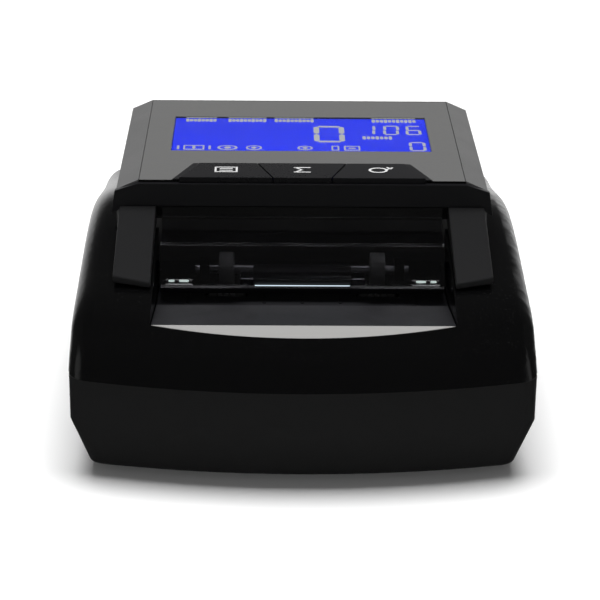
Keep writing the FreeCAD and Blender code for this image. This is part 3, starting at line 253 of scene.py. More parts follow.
# ------------------------------------------------------------------ finishes
@dataclass(frozen=True)
class Plastic:
    """A moulded plastic with grain, smudges and a little dust."""

    name: str
    colour: tuple[float, float, float]
    roughness: float
    grain: float = 900.0
    depth: float = 0.05
    spread: float = 0.08
    dust: float = 0.02
    metallic: float = 0.0

    def build(self) -> bpy.types.Material:
        """Makes the procedural material."""
        material, tree, shader = start_material(self.name)
        grain = shared_node(tree, GRAIN)
        grain.inputs["Scale"].default_value = self.grain
        marks = shared_node(tree, HANDLING)
        masks = ((mask, self.spread) for mask in (grain.outputs["Tone"], marks.outputs["Smudge"]))
        feed_roughness(tree, self.roughness - self.spread / 2, masks, shader)
        dusty = tuple(0.35 * c + 0.2 for c in self.colour)
        feed_tint(tree, (self.colour, dusty),
                  math_node(tree, "MULTIPLY", marks.outputs["Dust"], self.dust),
                  shader.inputs["Base Color"])
        feed_bump(tree, grain.outputs["Height"], self.depth, shader)
        shader.inputs["Metallic"].default_value = self.metallic
        return material


@dataclass(frozen=True)
class Metal:
    """A turned, drawn or plated metal."""

    name: str
    colour: tuple[float, float, float]
    roughness: float
    streak: tuple[float, float, float] = (40.0, 900.0, 900.0)
    depth: float = 0.01

    def build(self) -> bpy.types.Material:
        """Makes the procedural material, with fine streaks along one axis."""
        material, tree, shader = start_material(self.name)
        shader.inputs["Metallic"].default_value = 1.0
        noise = noise_node(tree, 1.0, 4.0, self.streak)
        marks = shared_node(tree, HANDLING)
        feed_roughness(tree, self.roughness - 0.1,
                       ((noise.outputs["Fac"], 0.16), (marks.outputs["Smudge"], 0.08)), shader)
        darker = tuple(0.86 * c for c in self.colour)
        feed_tint(tree, (darker, self.colour), noise.outputs["Fac"], shader.inputs["Base Color"])
        feed_bump(tree, noise.outputs["Fac"], self.depth, shader)
        return material


@dataclass(frozen=True)
class Acrylic:
    """A clear or smoked transparent sheet."""

    name: str
    colour: tuple[float, float, float]
    roughness: float = 0.03
    clearness: float = 1.0

    def build(self) -> bpy.types.Material:
        """Makes the procedural material, with faint smudges on its faces."""
        material, tree, shader = start_material(self.name)
        shader.inputs["Base Color"].default_value = (*self.colour, 1.0)
        shader.inputs["Transmission Weight"].default_value = self.clearness
        shader.inputs["IOR"].default_value = 1.46
        marks = shared_node(tree, HANDLING)
        feed_roughness(tree, self.roughness, ((marks.outputs["Smudge"], 0.03),), shader)
        return material


@dataclass(frozen=True)
class Glow:
    """A glowing surface with slightly uneven brightness: the lit display and sensor lamps, and also
    painted glints and painted highlights that glow though they are no lamps.
    """

    name: str
    colour: tuple[float, float, float]
    strength: float
    base: tuple[float, float, float] = (0.02, 0.02, 0.02)

    def build(self) -> bpy.types.Material:
        """Makes the procedural material."""
        material, tree, shader = start_material(self.name)
        shader.inputs["Base Color"].default_value = (*self.base, 1.0)
        shader.inputs["Roughness"].default_value = 0.35
        shader.inputs["Emission Strength"].default_value = self.strength
        noise = noise_node(tree, 45.0)
        dimmer = tuple(0.8 * c for c in self.colour)
        feed_tint(tree, (dimmer, self.colour), noise.outputs["Fac"],
                  shader.inputs["Emission Color"])
        return material


FINISHES = (
    Plastic("case_black", (0.0095, 0.0095, 0.0097), 0.42, 1400.0, 0.03),
    Plastic("hood_black", (0.0015, 0.0015, 0.0016), 0.2, 300.0, 0.002, 0.03, 0.05),
    Plastic("head_grey", (0.1, 0.1, 0.1), 0.42, 1500.0, 0.02),
    Plastic("inlay_grey", (0.106, 0.106, 0.105), 0.38, 1500.0, 0.015),
    Plastic("band_black", (0.008, 0.008, 0.009), 0.3, 1500.0, 0.01),
    Plastic("arm_grey", (0.012, 0.012, 0.0125), 0.34, 1500.0, 0.015),
    Plastic("key_black", (0.006, 0.006, 0.007), 0.28, 1500.0, 0.01),
    Acrylic("smoked", (0.16, 0.16, 0.17), 0.03, 0.993),
    Acrylic("clear", (0.97, 0.98, 1.0), 0.02),
    Glow("lcd_blue", (0.0, 0.025, 1.0), 1.2),
    Glow("lcd_pale", (0.72, 0.74, 0.7), 0.75),
    Glow("eye_violet", (0.3, 0.25, 0.9), 0.25, (0.3, 0.3, 0.34)),
    # painted highlight: a glow along the sensor bar's foot that stands for the bright line of light
    # at the slot's edge
    Glow("strip_lit", (0.75, 0.9, 1.0), 1.0),
    # painted glints: a glow on the entry sensor lenses that stands for light caught on their edges
    Glow("lens_lit", (0.8, 0.95, 0.92), 0.6),
    Plastic("tray_grey", (0.018, 0.018, 0.02), 0.3, 1500.0, 0.01),
    # partly the trim's own silver and partly a painted highlight: the pale colour also stands for
    # the light that the lip's crescent catches
    Plastic("lip_silver", (0.44, 0.435, 0.425), 0.35, 1500.0, 0.01, metallic=0.35),
    Plastic("guide_black", (0.01, 0.01, 0.011), 0.3, 1200.0, 0.01),
    Plastic("foot_rubber", (0.012, 0.012, 0.012), 0.75, 1600.0, 0.05),
    Plastic("roller_rubber", (0.03, 0.03, 0.03), 0.65, 1600.0, 0.04),
    Plastic("wheel_white", (0.6, 0.6, 0.58), 0.35, 900.0, 0.01),
    Metal("steel", (0.62, 0.62, 0.64), 0.3),
    Metal("bronze", (0.65, 0.42, 0.2), 0.4),
    Plastic("board_green", (0.01, 0.09, 0.03), 0.35, 400.0, 0.03),
    Plastic("chip_black", (0.012, 0.012, 0.013), 0.45, 2000.0, 0.02),
    Plastic("belt_rubber", (0.01, 0.01, 0.01), 0.7, 1600.0, 0.03),
    Plastic("pulley_white", (0.55, 0.55, 0.53), 0.35, 900.0, 0.01),
    Plastic("connector_black", (0.01, 0.01, 0.011), 0.35, 1400.0, 0.02),
    Metal("socket_steel", (0.6, 0.6, 0.62), 0.28),
    Plastic("disc_black", (0.01, 0.01, 0.012), 0.3, 1200.0, 0.01),
    Plastic("mark_pale", (0.55, 0.55, 0.55), 0.5, 1200.0, 0.01),
)
MATERIALS = {finish.name: finish.build() for finish in FINISHES}
SLOTS = {row["node"]: row["material_slot"] for row in frame["record"]["subparts"]}
BODY_OF = {node: body for body, nodes in frame["record"]["behaviour"]["bodies"].items()
           for node in nodes}


# ------------------------------------------------------------------ making pieces
def at(x: float, y: float, z: float, turn: tuple[float, float, float] = (0.0, 0.0, 0.0)) -> Matrix:
    """A place in millimetres, with a turn in degrees about X, Y and Z."""
    angles = Euler([math.radians(a) for a in turn])
    return Matrix.Translation(Vector((x, y, z)) * MM) @ angles.to_matrix().to_4x4()


def corners(node: str) -> tuple[Vector, Vector]:
    """The lowest and highest corners of a CAD node in millimetres."""
    low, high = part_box(node)
    return Vector(low) / MM, Vector(high) / MM


def ring(inner: float, outer: float, height: float) -> Profile:
    """The closed profile of a flat ring for turning, in millimetres."""
    half = height / 2
    return [(inner, -half), (outer, -half), (outer, half), (inner, half), (inner, -half)]


class Mould:
    """A mesh under construction, in metres in the row frame."""

    MERGED = 2e-6
    FLAT = math.radians(0.05)
    SHARP = math.radians(28.0)

    def __init__(self) -> None:
        """Starts with an empty mesh."""
        self.bm = bmesh.new()

    @classmethod
    def from_node(cls, node: str) -> "Mould":
        """Takes a merged copy of a CAD node, with the triangles of its flat faces joined.

        Args:
            node: name of the CAD node.

        Returns:
            A mould that holds the copy.
        """
        mould = cls()
        mould.bm.from_mesh(frame["nodes"][node].data)
        bmesh.ops.remove_doubles(mould.bm, verts=mould.bm.verts, dist=cls.MERGED)
        bmesh.ops.dissolve_limit(mould.bm, angle_limit=cls.FLAT, verts=mould.bm.verts,
                                 edges=mould.bm.edges, use_dissolve_boundaries=False)
        return mould

    def take(self, block: bmesh.types.BMesh, place: Matrix) -> "Mould":
        """Moves a block to its place and adds it to the mesh.

        Args:
            block: the block, which is freed.
            place: where it goes.

        Returns:
            The mould itself.
        """
        bmesh.ops.transform(block, matrix=place, verts=block.verts)
        mesh = bpy.data.meshes.new("block")
        block.to_mesh(mesh)
        block.free()
        self.bm.from_mesh(mesh)
        bpy.data.meshes.remove(mesh)
        return self

    def bar(self, size: tuple[float, float, float], place: Matrix, cut: float = 0.0,
            segments: int = 1) -> "Mould":
        """Adds a block whose four edges along its own Z are cut or rounded.

        Args:
            size: its length, width and height in millimetres.
            place: where its middle goes.
            cut: how much of each edge is cut, in millimetres.
            segments: faces across the cut.

        Returns:
            The mould itself.
        """
        block = bmesh.new()
        bmesh.ops.create_cube(block, size=1.0)
        bmesh.ops.scale(block, vec=Vector(size) * MM, verts=block.verts)
        if cut:
            upright = [e for e in block.edges
                       if abs(e.verts[0].co.z - e.verts[1].co.z) > size[2] * MM / 2]
            bmesh.ops.bevel(block, geom=upright, offset=cut * MM, offset_type="OFFSET",
                            segments=segments, profile=0.5, affect="EDGES", material=-1)
        return self.take(block, place)

    def turned(self, profile: Profile, place: Matrix, steps: int = 48,
               scale: tuple[float, float, float] = (1.0, 1.0, 1.0)) -> "Mould":
        """Adds a body turned about its own Z.

        Args:
            profile: radius and height of each point in millimetres; a ring's first point
                comes again at its end.
            place: where it goes.
            steps: faces round it.
            scale: a stretch along its own axes, for an oval.

        Returns:
            The mould itself.
        """
        block = bmesh.new()
        points = [block.verts.new((r * MM, 0.0, z * MM)) for r, z in profile]
        lines = [block.edges.new(pair) for pair in zip(points, points[1:])]
        bmesh.ops.spin(block, geom=points + lines, cent=(0, 0, 0), axis=(0, 0, 1), dvec=(0, 0, 0),
                       angle=math.tau, steps=steps, use_merge=True, use_duplicate=False)
        bmesh.ops.remove_doubles(block, verts=block.verts, dist=1e-7)
        bmesh.ops.scale(block, vec=Vector(scale), verts=block.verts)
        bmesh.ops.recalc_face_normals(block, faces=block.faces)
        return self.take(block, place)

    def copy_of(self, mesh: bpy.types.Mesh, place: Matrix) -> "Mould":
        """Adds a copy of a finished mesh.

        Args:
            mesh: the mesh.
            place: where the copy goes.

        Returns:
            The mould itself.
        """
        block = bmesh.new()
        block.from_mesh(mesh)
        return self.take(block, place)

    def soften(self, radius: float, segments: int) -> "Mould":
        """Rounds every sharp edge.

        Args:
            radius: size of the rounding in millimetres.
            segments: faces across it.

        Returns:
            The mould itself.
        """
        edges = [e for e in self.bm.edges
                 if e.is_manifold and e.calc_face_angle(0.0) > self.SHARP]
        bmesh.ops.bevel(self.bm, geom=edges, offset=radius * MM, offset_type="OFFSET",
                        segments=segments, profile=0.5, affect="EDGES", material=-1,
                        clamp_overlap=True, loop_slide=True)
        return self

    def piece(self, name: str, node: str, finish: str = "", replaces: bool = False,
              smooth: float = 40.0) -> None:
        """Finishes the mesh as a piece that moves with a CAD node and has its slot.

        Args:
            name: name of the piece.
            node: name of the CAD node.
            finish: name of its finish, or empty for the node's own.
            replaces: whether it stands for the node.
            smooth: the angle in degrees below which shading runs on over an edge.
        """
        mesh = bpy.data.meshes.new(name)
        self.bm.to_mesh(mesh)
        self.bm.free()
        mesh.shade_smooth()
        mesh.set_sharp_from_angle(angle=math.radians(smooth))
        mesh.materials.append(MATERIALS[finish or SLOTS[node]])
        item = bpy.data.objects.new(name, mesh)
        bpy.context.scene.collection.objects.link(item)
        weighted = item.modifiers.new("face_weighted", "WEIGHTED_NORMAL")
        weighted.keep_sharp = True
        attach(item, BODY_OF[node])
        if replaces:
            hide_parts(node)
        log.info("made %s", name)


def softened(node: str, radius: float, segments: int = 3, finish: str = "") -> None:
    """Puts a copy of a CAD node with its sharp edges rounded in place of the node.

    Args:
        node: name of the CAD node.
        radius: size of the rounding in millimetres.
        segments: faces across it.
        finish: name of the finish, or empty for the node's own.
    """
    mould = Mould.from_node(node).soften(radius, segments)
    mould.piece(node + "_moulding", node, finish, True)


# ------------------------------------------------------------------ stage
@dataclass
class Studio:
    """Camera, floor and lights."""

    lens: float = 116.6
    eye: tuple[float, float, float] = (-0.0093, -0.6024, 0.2611)
    pitch: float = 20.9
    yaw: float = 0.86
    roll: float = 0.57
    room_glow: float = 0.08
    room_mirrored: float = 0.04
    room_behind: float = 1.0
    softboxes: tuple[tuple, ...] = (
        ("overhead", (0.0, 0.16, 1.25), (0.0, 0.0, 0.0), (1.1, 0.8), 26.5, False),
        ("front", (0.0, -1.2, 0.42), (0.0, 0.0, 0.03), (1.0, 0.4), 2.6, False),
        ("side_1", (-1.3, -0.1, 0.45), (0.0, 0.0, 0.03), (0.5, 0.5), 0.3, True),
        ("side_3", (1.3, -0.1, 0.45), (0.0, 0.0, 0.03), (0.5, 0.5), 0.3, True))

    def camera(self) -> None:
        """Stands the camera in front of the feed mouth, looking down on it."""
        data = bpy.data.cameras.new("view")
        data.lens = self.lens
        data.sensor_width = 36.0
        camera = bpy.data.objects.new("view", data)
        bpy.context.scene.collection.objects.link(camera)
        pitch, yaw, roll = (math.radians(a) for a in (self.pitch, self.yaw, self.roll))
        ahead = Vector((math.sin(yaw) * math.cos(pitch), math.cos(yaw) * math.cos(pitch),
                        -math.sin(pitch)))
        level = Vector((math.cos(yaw), -math.sin(yaw), 0.0))
        above = level.cross(ahead)
        right = math.cos(roll) * level + math.sin(roll) * above
        up = math.cos(roll) * above - math.sin(roll) * level
        turn = Matrix((right, up, -ahead)).transposed().to_4x4()
        camera.matrix_world = Matrix.Translation(self.eye) @ turn
        bpy.context.scene.camera = camera

    @staticmethod
    def light(name: str, place: tuple, aim: tuple, size: tuple, power: float,
              mirrored: bool) -> None:
        """Adds a rectangular softbox.

        Args:
            name: name of the light.
            place: where it hangs, in metres.
            aim: the point that it faces.
            size: its width and height.
            power: its power in watts.
            mirrored: whether glossy surfaces show it.
        """
        data = bpy.data.lights.new(name, "AREA")
        data.shape = "RECTANGLE"
        data.size, data.size_y = size
        data.energy = power
        lamp = bpy.data.objects.new(name, data)
        lamp.location = place
        lamp.rotation_euler = (Vector(aim) - Vector(place)).to_track_quat("-Z", "Y").to_euler()
        lamp.visible_glossy = mirrored
        bpy.context.scene.collection.objects.link(lamp)

    def floor(self) -> None:
        """Lays a plain pale floor."""
        bm = bmesh.new()
        bmesh.ops.create_grid(bm, x_segments=1, y_segments=1, size=6.0)
        mesh = bpy.data.meshes.new("floor")
        bm.to_mesh(mesh)
        bm.free()
        material, _, shader = start_material("floor_white")
        shader.inputs["Base Color"].default_value = (0.9, 0.9, 0.9, 1.0)
        shader.inputs["Roughness"].default_value = 0.9
        shader.inputs["Specular IOR Level"].default_value = 0.1
        mesh.materials.append(material)
        item = bpy.data.objects.new("floor", mesh)
        item.visible_glossy = False
        bpy.context.scene.collection.objects.link(item)

    @staticmethod
    def step(tree: Tree, value: Socket, start: float, end: float) -> Socket:
        """Adds a smooth step from 0 to 1.

        Args:
            tree: the world's tree.
            value: what it depends on.
            start: the value where it leaves 0.
            end: the value where it reaches 1.

        Returns:
            The step's output.
        """
        node = tree.nodes.new("ShaderNodeMapRange")
        node.interpolation_type = "SMOOTHSTEP"
        node.inputs["From Min"].default_value = start
        node.inputs["From Max"].default_value = end
        tree.links.new(value, node.inputs["Value"])
        return node.outputs["Result"]

    def sky(self) -> None:
        """White to the eye, a soft glow on matt surfaces, a dim room in glossy ones."""
        world = bpy.data.worlds.new("room")
        world.use_nodes = True
        tree = world.node_tree
        tree.nodes.clear()
        path = tree.nodes.new("ShaderNodeLightPath")
        shown = tree.nodes.new("ShaderNodeBackground")
        ways = tree.nodes.new("ShaderNodeSeparateXYZ")
        tree.links.new(tree.nodes.new("ShaderNodeTexCoord").outputs["Generated"], ways.inputs[0])
        behind = math_node(tree, "MULTIPLY", self.step(tree, ways.outputs["Y"], 0.72, 0.97),
                           self.step(tree, ways.outputs["Z"], 0.4, 0.0))
        glare = math_node(tree, "MULTIPLY", behind, self.room_behind)
        seen = math_node(tree, "ADD", glare, self.room_mirrored)
        tree.links.new(seen, shown.inputs["Strength"])
        for flag, strength in (("Is Diffuse Ray", self.room_glow), ("Is Camera Ray", 1.0)):
            light = tree.nodes.new("ShaderNodeBackground")
            light.inputs["Strength"].default_value = strength
            mix = tree.nodes.new("ShaderNodeMixShader")
            tree.links.new(path.outputs[flag], mix.inputs[0])
            tree.links.new(shown.outputs[0], mix.inputs[1])
            tree.links.new(light.outputs[0], mix.inputs[2])
            shown = mix
        for node in tree.nodes:
            if node.type == "BACKGROUND":
                node.inputs["Color"].default_value = (1.0, 1.0, 1.0, 1.0)
        out = tree.nodes.new("ShaderNodeOutputWorld")
        tree.links.new(shown.outputs[0], out.inputs["Surface"])
        bpy.context.scene.world = world

    def build(self) -> None:
        """Sets the whole stage."""
        self.camera()
        self.floor()
        self.sky()
        for row in self.softboxes:
            self.light(*row)
        bpy.context.scene.view_settings.view_transform = "Standard"


# ------------------------------------------------------------------ the detector
@dataclass
class CaseShells:
    """The hood, the lower case and the feed mouth's fixed parts."""

    roundings: tuple[tuple, ...] = (("upper_shell", 0.5), ("lower_case", 0.35),
                                    ("feed_tray", 0.3), ("feed_lip", 0.15, 2))

    def build(self) -> None:
        """Makes the shells."""
        for row in self.roundings:
            softened(*row)


@dataclass
class Feet:
    """Four rubber feet with ringed soles."""

    radius: float = 6.0
    rings: int = 4
    groove: float = 0.15
    rounding: float = 0.35

    def build(self) -> None:
        """Turns the feet and stands them on the counter."""
        low, high = corners("feet")
        height = high.z - low.z
        radius, groove = self.radius, self.groove
        profile = [(0.0, groove)]
        for turn in range(self.rings):
            inner = radius * (turn + 0.35) / (self.rings + 0.5)
            profile += [(inner, groove), (inner + 0.25, 0.0), (inner + 0.75, 0.0),
                        (inner + 1.0, groove)]
        profile += [(radius - self.rounding, groove), (radius, groove + self.rounding),
                    (radius, height), (0.0, height)]
        mould = Mould()
        for x in (low.x + radius, high.x - radius):
            for y in (low.y + radius, high.y - radius):
                mould.turned(profile, at(x, y, low.z), 40)
        mould.piece("ringed_feet", "feet", replaces=True, smooth=30.0)


class ScrewMaker:
    """Cross-recessed screws with a ribbed shank, head down at the origin."""

    PITCH = 0.8
    THREAD = 0.12
    BLADE = 0.55

    def __init__(self, head: float, thick: float, shank: float, length: float) -> None:
        """Cuts one screw.

        Args:
            head: radius of the head in millimetres.
            thick: height of the head.
            shank: radius of the shank.
            length: length of the shank past the head.
        """
        profile = [(0.0, 0.0), (head * 0.55, 0.02), (head * 0.88, thick * 0.25),
                   (head, thick * 0.6), (head, thick), (shank, thick)]
        for turn in range(int(length / self.PITCH) - 1):
            start = thick + 0.3 + turn * self.PITCH
            root = shank - self.THREAD
            profile += [(root, start), (shank, start + self.PITCH * 0.35),
                        (root, start + self.PITCH * 0.7)]
        profile += [(shank - 0.2, thick + length - 0.3), (0.0, thick + length)]
        blank = self.loose("screw_blank", Mould().turned(profile, at(0, 0, 0), 24))
        wing, depth = head * 1.25, thick * 1.1
        cross = Mould().bar((wing, self.BLADE, depth), at(0, 0, 0))
        tool = self.loose("screw_recess", cross.bar((self.BLADE, wing, depth), at(0, 0, 0)))
        cut = blank.modifiers.new("recess", "BOOLEAN")
        cut.operation = "DIFFERENCE"
        cut.solver = "EXACT"
        cut.use_self = True
        cut.object = tool
        ready = blank.evaluated_get(bpy.context.evaluated_depsgraph_get())
        self.mesh = bpy.data.meshes.new_from_object(ready)
        for item in (blank, tool):
            bpy.data.objects.remove(item)

    @staticmethod
    def loose(name: str, mould: Mould) -> bpy.types.Object:
        """Puts a mould's mesh into an object that is removed later.

        Args:
            name: name of the object.
            mould: the mould, which is used up.

        Returns:
            The object.
        """
        mesh = bpy.data.meshes.new(name)
        mould.bm.to_mesh(mesh)
        mould.bm.free()
        item = bpy.data.objects.new(name, mesh)
        bpy.context.scene.collection.objects.link(item)
        return item


@dataclass
class Fasteners:
    """The screws that hold the case, the main board and the motor."""

    case_head: float = 2.6
    case_thick: float = 1.0
    motor_head: float = 1.7
    motor_thick: float = 0.9

    def build(self) -> None:
        """Sets every screw in its hole."""
        for node, up in (("case_screws", 0.0), ("board_screws", 180.0)):
            low, high = corners(node)
            screw = ScrewMaker(self.case_head, self.case_thick, 1.25,
                               high.z - low.z - self.case_thick)
            mould = Mould()
            for x in (low.x + self.case_head, high.x - self.case_head):
                for y in (low.y + self.case_head, high.y - self.case_head):
                    foot = high.z if up else low.z
                    mould.copy_of(screw.mesh, at(x, y, foot, (up, 0, 0)))
            mould.piece("cross_" + node, node, replaces=True, smooth=30.0)
        low, high = corners("motor_screws")
        screw = ScrewMaker(self.motor_head, self.motor_thick, 1.0,
                           high.x - low.x - self.motor_thick)
        mould = Mould()
        for y in (low.y + self.motor_head, high.y - self.motor_head):
            mould.copy_of(screw.mesh, at(low.x, y, (low.z + high.z) / 2, (0, 90, 0)))
        mould.piece("cross_motor_screws", "motor_screws", replaces=True, smooth=30.0)


class Segments(Enum):
    """The bars of a seven-bar numeral, as place across, place up and whether upright."""

    TOP = (0.5, 1.0, False)
    MIDDLE = (0.5, 0.5, False)
    BOTTOM = (0.5, 0.0, False)
    UPPER_LEFT = (0.0, 0.75, True)
    UPPER_RIGHT = (1.0, 0.75, True)
    LOWER_LEFT = (0.0, 0.25, True)
    LOWER_RIGHT = (1.0, 0.25, True)


NUMERALS = {
    0: [s for s in Segments if s is not Segments.MIDDLE],
    1: [Segments.UPPER_RIGHT, Segments.LOWER_RIGHT],
    6: [s for s in Segments if s is not Segments.UPPER_RIGHT],
}


class SlopingFace:
    """The head's sloping top, which carries the display and the keys."""

    def __init__(self) -> None:
        """Reads the slope from the keys' travel."""
        joint = next(j for j in frame["record"]["behaviour"]["joints"] if j["name"] == "sum_press")
        self.normal = -Vector(joint["axis"]).normalized()
        self.up = Vector((0.0, self.normal.z, -self.normal.y))
        rear = corners("display_panel")[1]
        self.edge = Vector((0.0, rear.y, rear.z))

    def top(self, node: str) -> float:
        """How far a node's highest point stands over the face, in millimetres."""
        points = (vertex.co / MM for vertex in frame["nodes"][node].data.vertices)
        return max((point - self.edge).dot(self.normal) for point in points)

    def place(self, x: float, y: float, lift: float, turn: float = 0.0) -> Matrix:
        """A place on the face, with its own X across and its own Y up the slope.

        Args:
            x: its place from left to right in millimetres.
            y: its place from front to back.
            lift: its height over the face.
            turn: its turn about the face's normal in degrees.

        Returns:
            The place.
        """
        axes = Matrix((Vector((1, 0, 0)), self.up, self.normal)).transposed().to_4x4()
        height = self.edge.z - (self.edge.y - y) * self.up.z / self.up.y
        spot = Vector((x, y, height)) + self.normal * lift
        return (Matrix.Translation(spot * MM) @ axes
                @ Matrix.Rotation(math.radians(turn), 4, "Z"))


@dataclass
class Display:
    """The lit signs of the display: a count, a sum, bars and small icons."""

    face: SlopingFace
    thick: float = 0.1
    line: float = 0.5
    icon_row: float = 0.12
    tag_marks: float = 62.0
    numerals: tuple[tuple, ...] = ((0, 0.612, 0.31, 8.6, 15.2, 1.9),
                                   (1, 0.762, 0.53, 4.4, 8.6, 1.0, 0.5),
                                   (0, 0.856, 0.53, 4.4, 8.6, 1.0, 0.5),
                                   (6, 0.945, 0.53, 4.4, 8.6, 1.0, 0.5),
                                   (0, 0.952, 0.06, 4.6, 8.0, 1.0))
    tags: tuple[tuple, ...] = ((0.04, 0.165, 0.93), (0.21, 0.365, 0.93), (0.395, 0.555, 0.93),
                               (0.785, 0.965, 0.93), (0.74, 0.86, 0.425))
    frames: tuple[tuple, ...] = ((0.085, 7.0, 4.2), (0.632, 2.6, 4.4), (0.697, 5.4, 4.4))
    bars: tuple[tuple, ...] = ((0.085, 1.0, 2.4), (0.024, 0.8, 3.6), (0.146, 0.8, 3.6),
                               (0.697, 2.6, 0.9))
    ovals: tuple[tuple, ...] = ((0.215, 6.8, 4.4), (0.317, 5.4, 4.4), (0.515, 5.2, 4.0))

    def __post_init__(self) -> None:
        """Finds the lit area and the glass under it."""
        self.low, high = corners("lcd_window")
        self.spread, self.rise = high.x - self.low.x, high.y - self.low.y
        self.lift = self.thick / 2 + self.face.top("lcd_module")
        self.signs = Mould()

    def spot(self, across: float, up: float) -> Matrix:
        """A place on the glass from shares of its width and depth."""
        return self.face.place(self.low.x + across * self.spread, self.low.y + up * self.rise,
                               self.lift)

    def bar(self, across: float, up: float, length: float, width: float) -> None:
        """Adds one lit bar with pointed ends, sized in millimetres."""
        self.signs.bar((length, width, self.thick), self.spot(across, up),
                       min(length, width) * 0.42)

    def numeral(self, value: int, across: float, up: float, width: float, height: float,
                stroke: float, slant: float = 0.0) -> None:
        """Adds a seven-bar numeral.

        Args:
            value: the numeral.
            across: share of the glass width at its middle.
            up: share of the glass depth at its foot.
            width: distance between its upright bars in millimetres.
            height: distance between its lowest and highest bars.
            stroke: width of an upright bar.
            slant: how far its top leans to the right.
        """
        for segment in NUMERALS[value]:
            x, y, upright = segment.value
            place = (across + ((x - 0.5) * width + y * slant) / self.spread,
                     up + y * height / self.rise)
            if upright:
                self.bar(*place, stroke, height / 2 - 0.5)
            else:
                self.bar(*place, width - stroke * 0.4, stroke * 0.75)

    def oval(self, across: float, up: float, width: float, height: float) -> None:
        """Adds an oval line with a bar across its middle.

        Args:
            across: share of the glass width at its middle.
            up: share of the glass depth at its middle.
            width: its width in millimetres.
            height: its height.
        """
        self.signs.turned(ring(height / 2 - self.line, height / 2, self.thick),
                          self.spot(across, up), 32, (width / height, 1.0, 1.0))
        self.bar(across, up, width * 0.36, height * 0.42)

    def framed(self, across: float, up: float, width: float, height: float) -> None:
        """Adds a rectangle drawn in four lines.

        Args:
            across: share of the glass width at its middle.
            up: share of the glass depth at its middle.
            width: its width in millimetres.
            height: its height.
        """
        line = self.line * 1.1
        for side in (-1, 1):
            self.bar(across + side * (width - line) / 2 / self.spread, up, line, height)
            self.bar(across, up + side * (height - line) / 2 / self.rise, width, line)

    def tag(self, start: float, end: float, up: float) -> None:
        """Adds a row of short blocks, as the display's small captions show from afar.

        Args:
            start: share of the glass width at its left end.
            end: share of the glass width at its right end.
            up: share of the glass depth at its middle.
        """
        count = round((end - start) * self.tag_marks)
        for mark in range(count):
            share = start + (mark + 0.5) * (end - start) / count
            self.bar(share, up, 1.15, 2.6 if mark % 3 else 3.2)

    def build(self) -> None:
        """Lights all the signs."""
        for row in self.numerals:
            self.numeral(*row)
        for row in self.tags:
            self.tag(*row)
        for draw, rows in ((self.framed, self.frames), (self.bar, self.bars),
                           (self.oval, self.ovals)):
            for across, width, height in rows:
                draw(across, self.icon_row, width, height)
        self.signs.piece("display_signs", "lcd_module", "lcd_pale")


PRINT_LINE = 0.62


class KeySign(Enum):
    """Each key's strokes, as place across, place up, length, width and turn."""

    REPORT = ((-3.4, 0.0, PRINT_LINE, 4.2, 0.0), (3.4, 0.0, PRINT_LINE, 4.2, 0.0),
              (0.0, -2.1, 7.4, PRINT_LINE, 0.0), (0.0, 2.1, 7.4, PRINT_LINE, 0.0),
              (0.0, -0.8, 4.2, PRINT_LINE, 0.0), (0.0, 0.8, 4.2, PRINT_LINE, 0.0))
    SUM = ((0.0, -2.1, 5.4, PRINT_LINE, 0.0), (-1.1, -1.0, 3.6, PRINT_LINE, 42.0),
           (0.0, 2.1, 5.4, PRINT_LINE, 0.0), (-1.1, 1.0, 3.6, PRINT_LINE, -42.0))
    RESET = ((3.9, 1.6, 2.6, PRINT_LINE, 40.0), (3.6, 1.9, 2.2, PRINT_LINE, -50.0))


@dataclass
class Keys:
    """The three keys with a printed sign on each."""

    face: SlopingFace
    rounding: float = 0.3
    print_height: float = 0.04
    sign_rise: float = 0.6
    inner: float = 1.7

    def build(self) -> None:
        """Makes the keys and their signs; the reset sign also has an oval ring."""
        for sign in KeySign:
            node = sign.name.lower() + "_button"
            softened(node, self.rounding)
            low, high = corners(node)
            x, y = (low.x + high.x) / 2, (low.y + high.y) / 2 + self.sign_rise
            lift = self.face.top(node) + self.print_height / 2
            mark = Mould()
            if sign is KeySign.RESET:
                mark.turned(ring(self.inner, self.inner + PRINT_LINE, self.print_height),
                            self.face.place(x, y, lift), 32, (1.35, 1.0, 1.0))
            for across, up, length, width, turn in sign.value:
                mark.bar((length, width, self.print_height),
                         self.face.place(x + across, y + up, lift, turn))
            mark.piece(sign.name.lower() + "_sign", node, "mark_pale")


@dataclass
class DisplayHead:
    """The hinged head with its window, arms, display and keys."""

    roundings: tuple[tuple, ...] = (("head_cover", 0.5), ("display_panel", 0.2),
                                    ("front_band", 0.35), ("left_arm", 0.5), ("right_arm", 0.5),
                                    ("throat_window", 0.3))
    beads: tuple[tuple, ...] = ((1.9, 2.0), (5.8, 3.2))

    def painted_lens_glints(self) -> None:
        """Sets two glowing beads in each lens behind the window's foot: painted glints that stand
        for light caught on the lens edges, since the lenses are no lamps.
        """
        low, high = corners("entry_sensor_lenses")
        mould = Mould()
        for side in (-1, 1):
            for offset, length in self.beads:
                half = length / 2
                profile = [(0.0, -half), (0.32, 0.2 - half), (0.36, 0.0), (0.32, half - 0.2),
                           (0.0, half)]
                mould.turned(profile, at(side * (high.x - offset), low.y - 0.1, high.z - 0.1,
                                         (0, 90, 0)), 16)
        mould.piece("lens_beads", "entry_sensor_lenses", "lens_lit")

    def painted_bar_highlight(self) -> None:
        """Lays a glowing strip along the foot of the sensor bar: a painted highlight that stands
        for the bright line of light along the slot's edge.
        """
        low, high = corners("entry_sensor_bar")
        strip = Mould().bar((high.x - low.x - 1.0, 0.5, 0.3),
                            at((low.x + high.x) / 2, low.y - 0.2, low.z + 1.5), 0.2, 3)
        strip.piece("sensor_bar_strip", "entry_sensor_bar", "strip_lit")

    def build(self) -> None:
        """Makes the head's mouldings and what is set in them."""
        for row in self.roundings:
            softened(*row)
        face = SlopingFace()
        Display(face).build()
        Keys(face).build()
        self.painted_lens_glints()
        self.painted_bar_highlight()


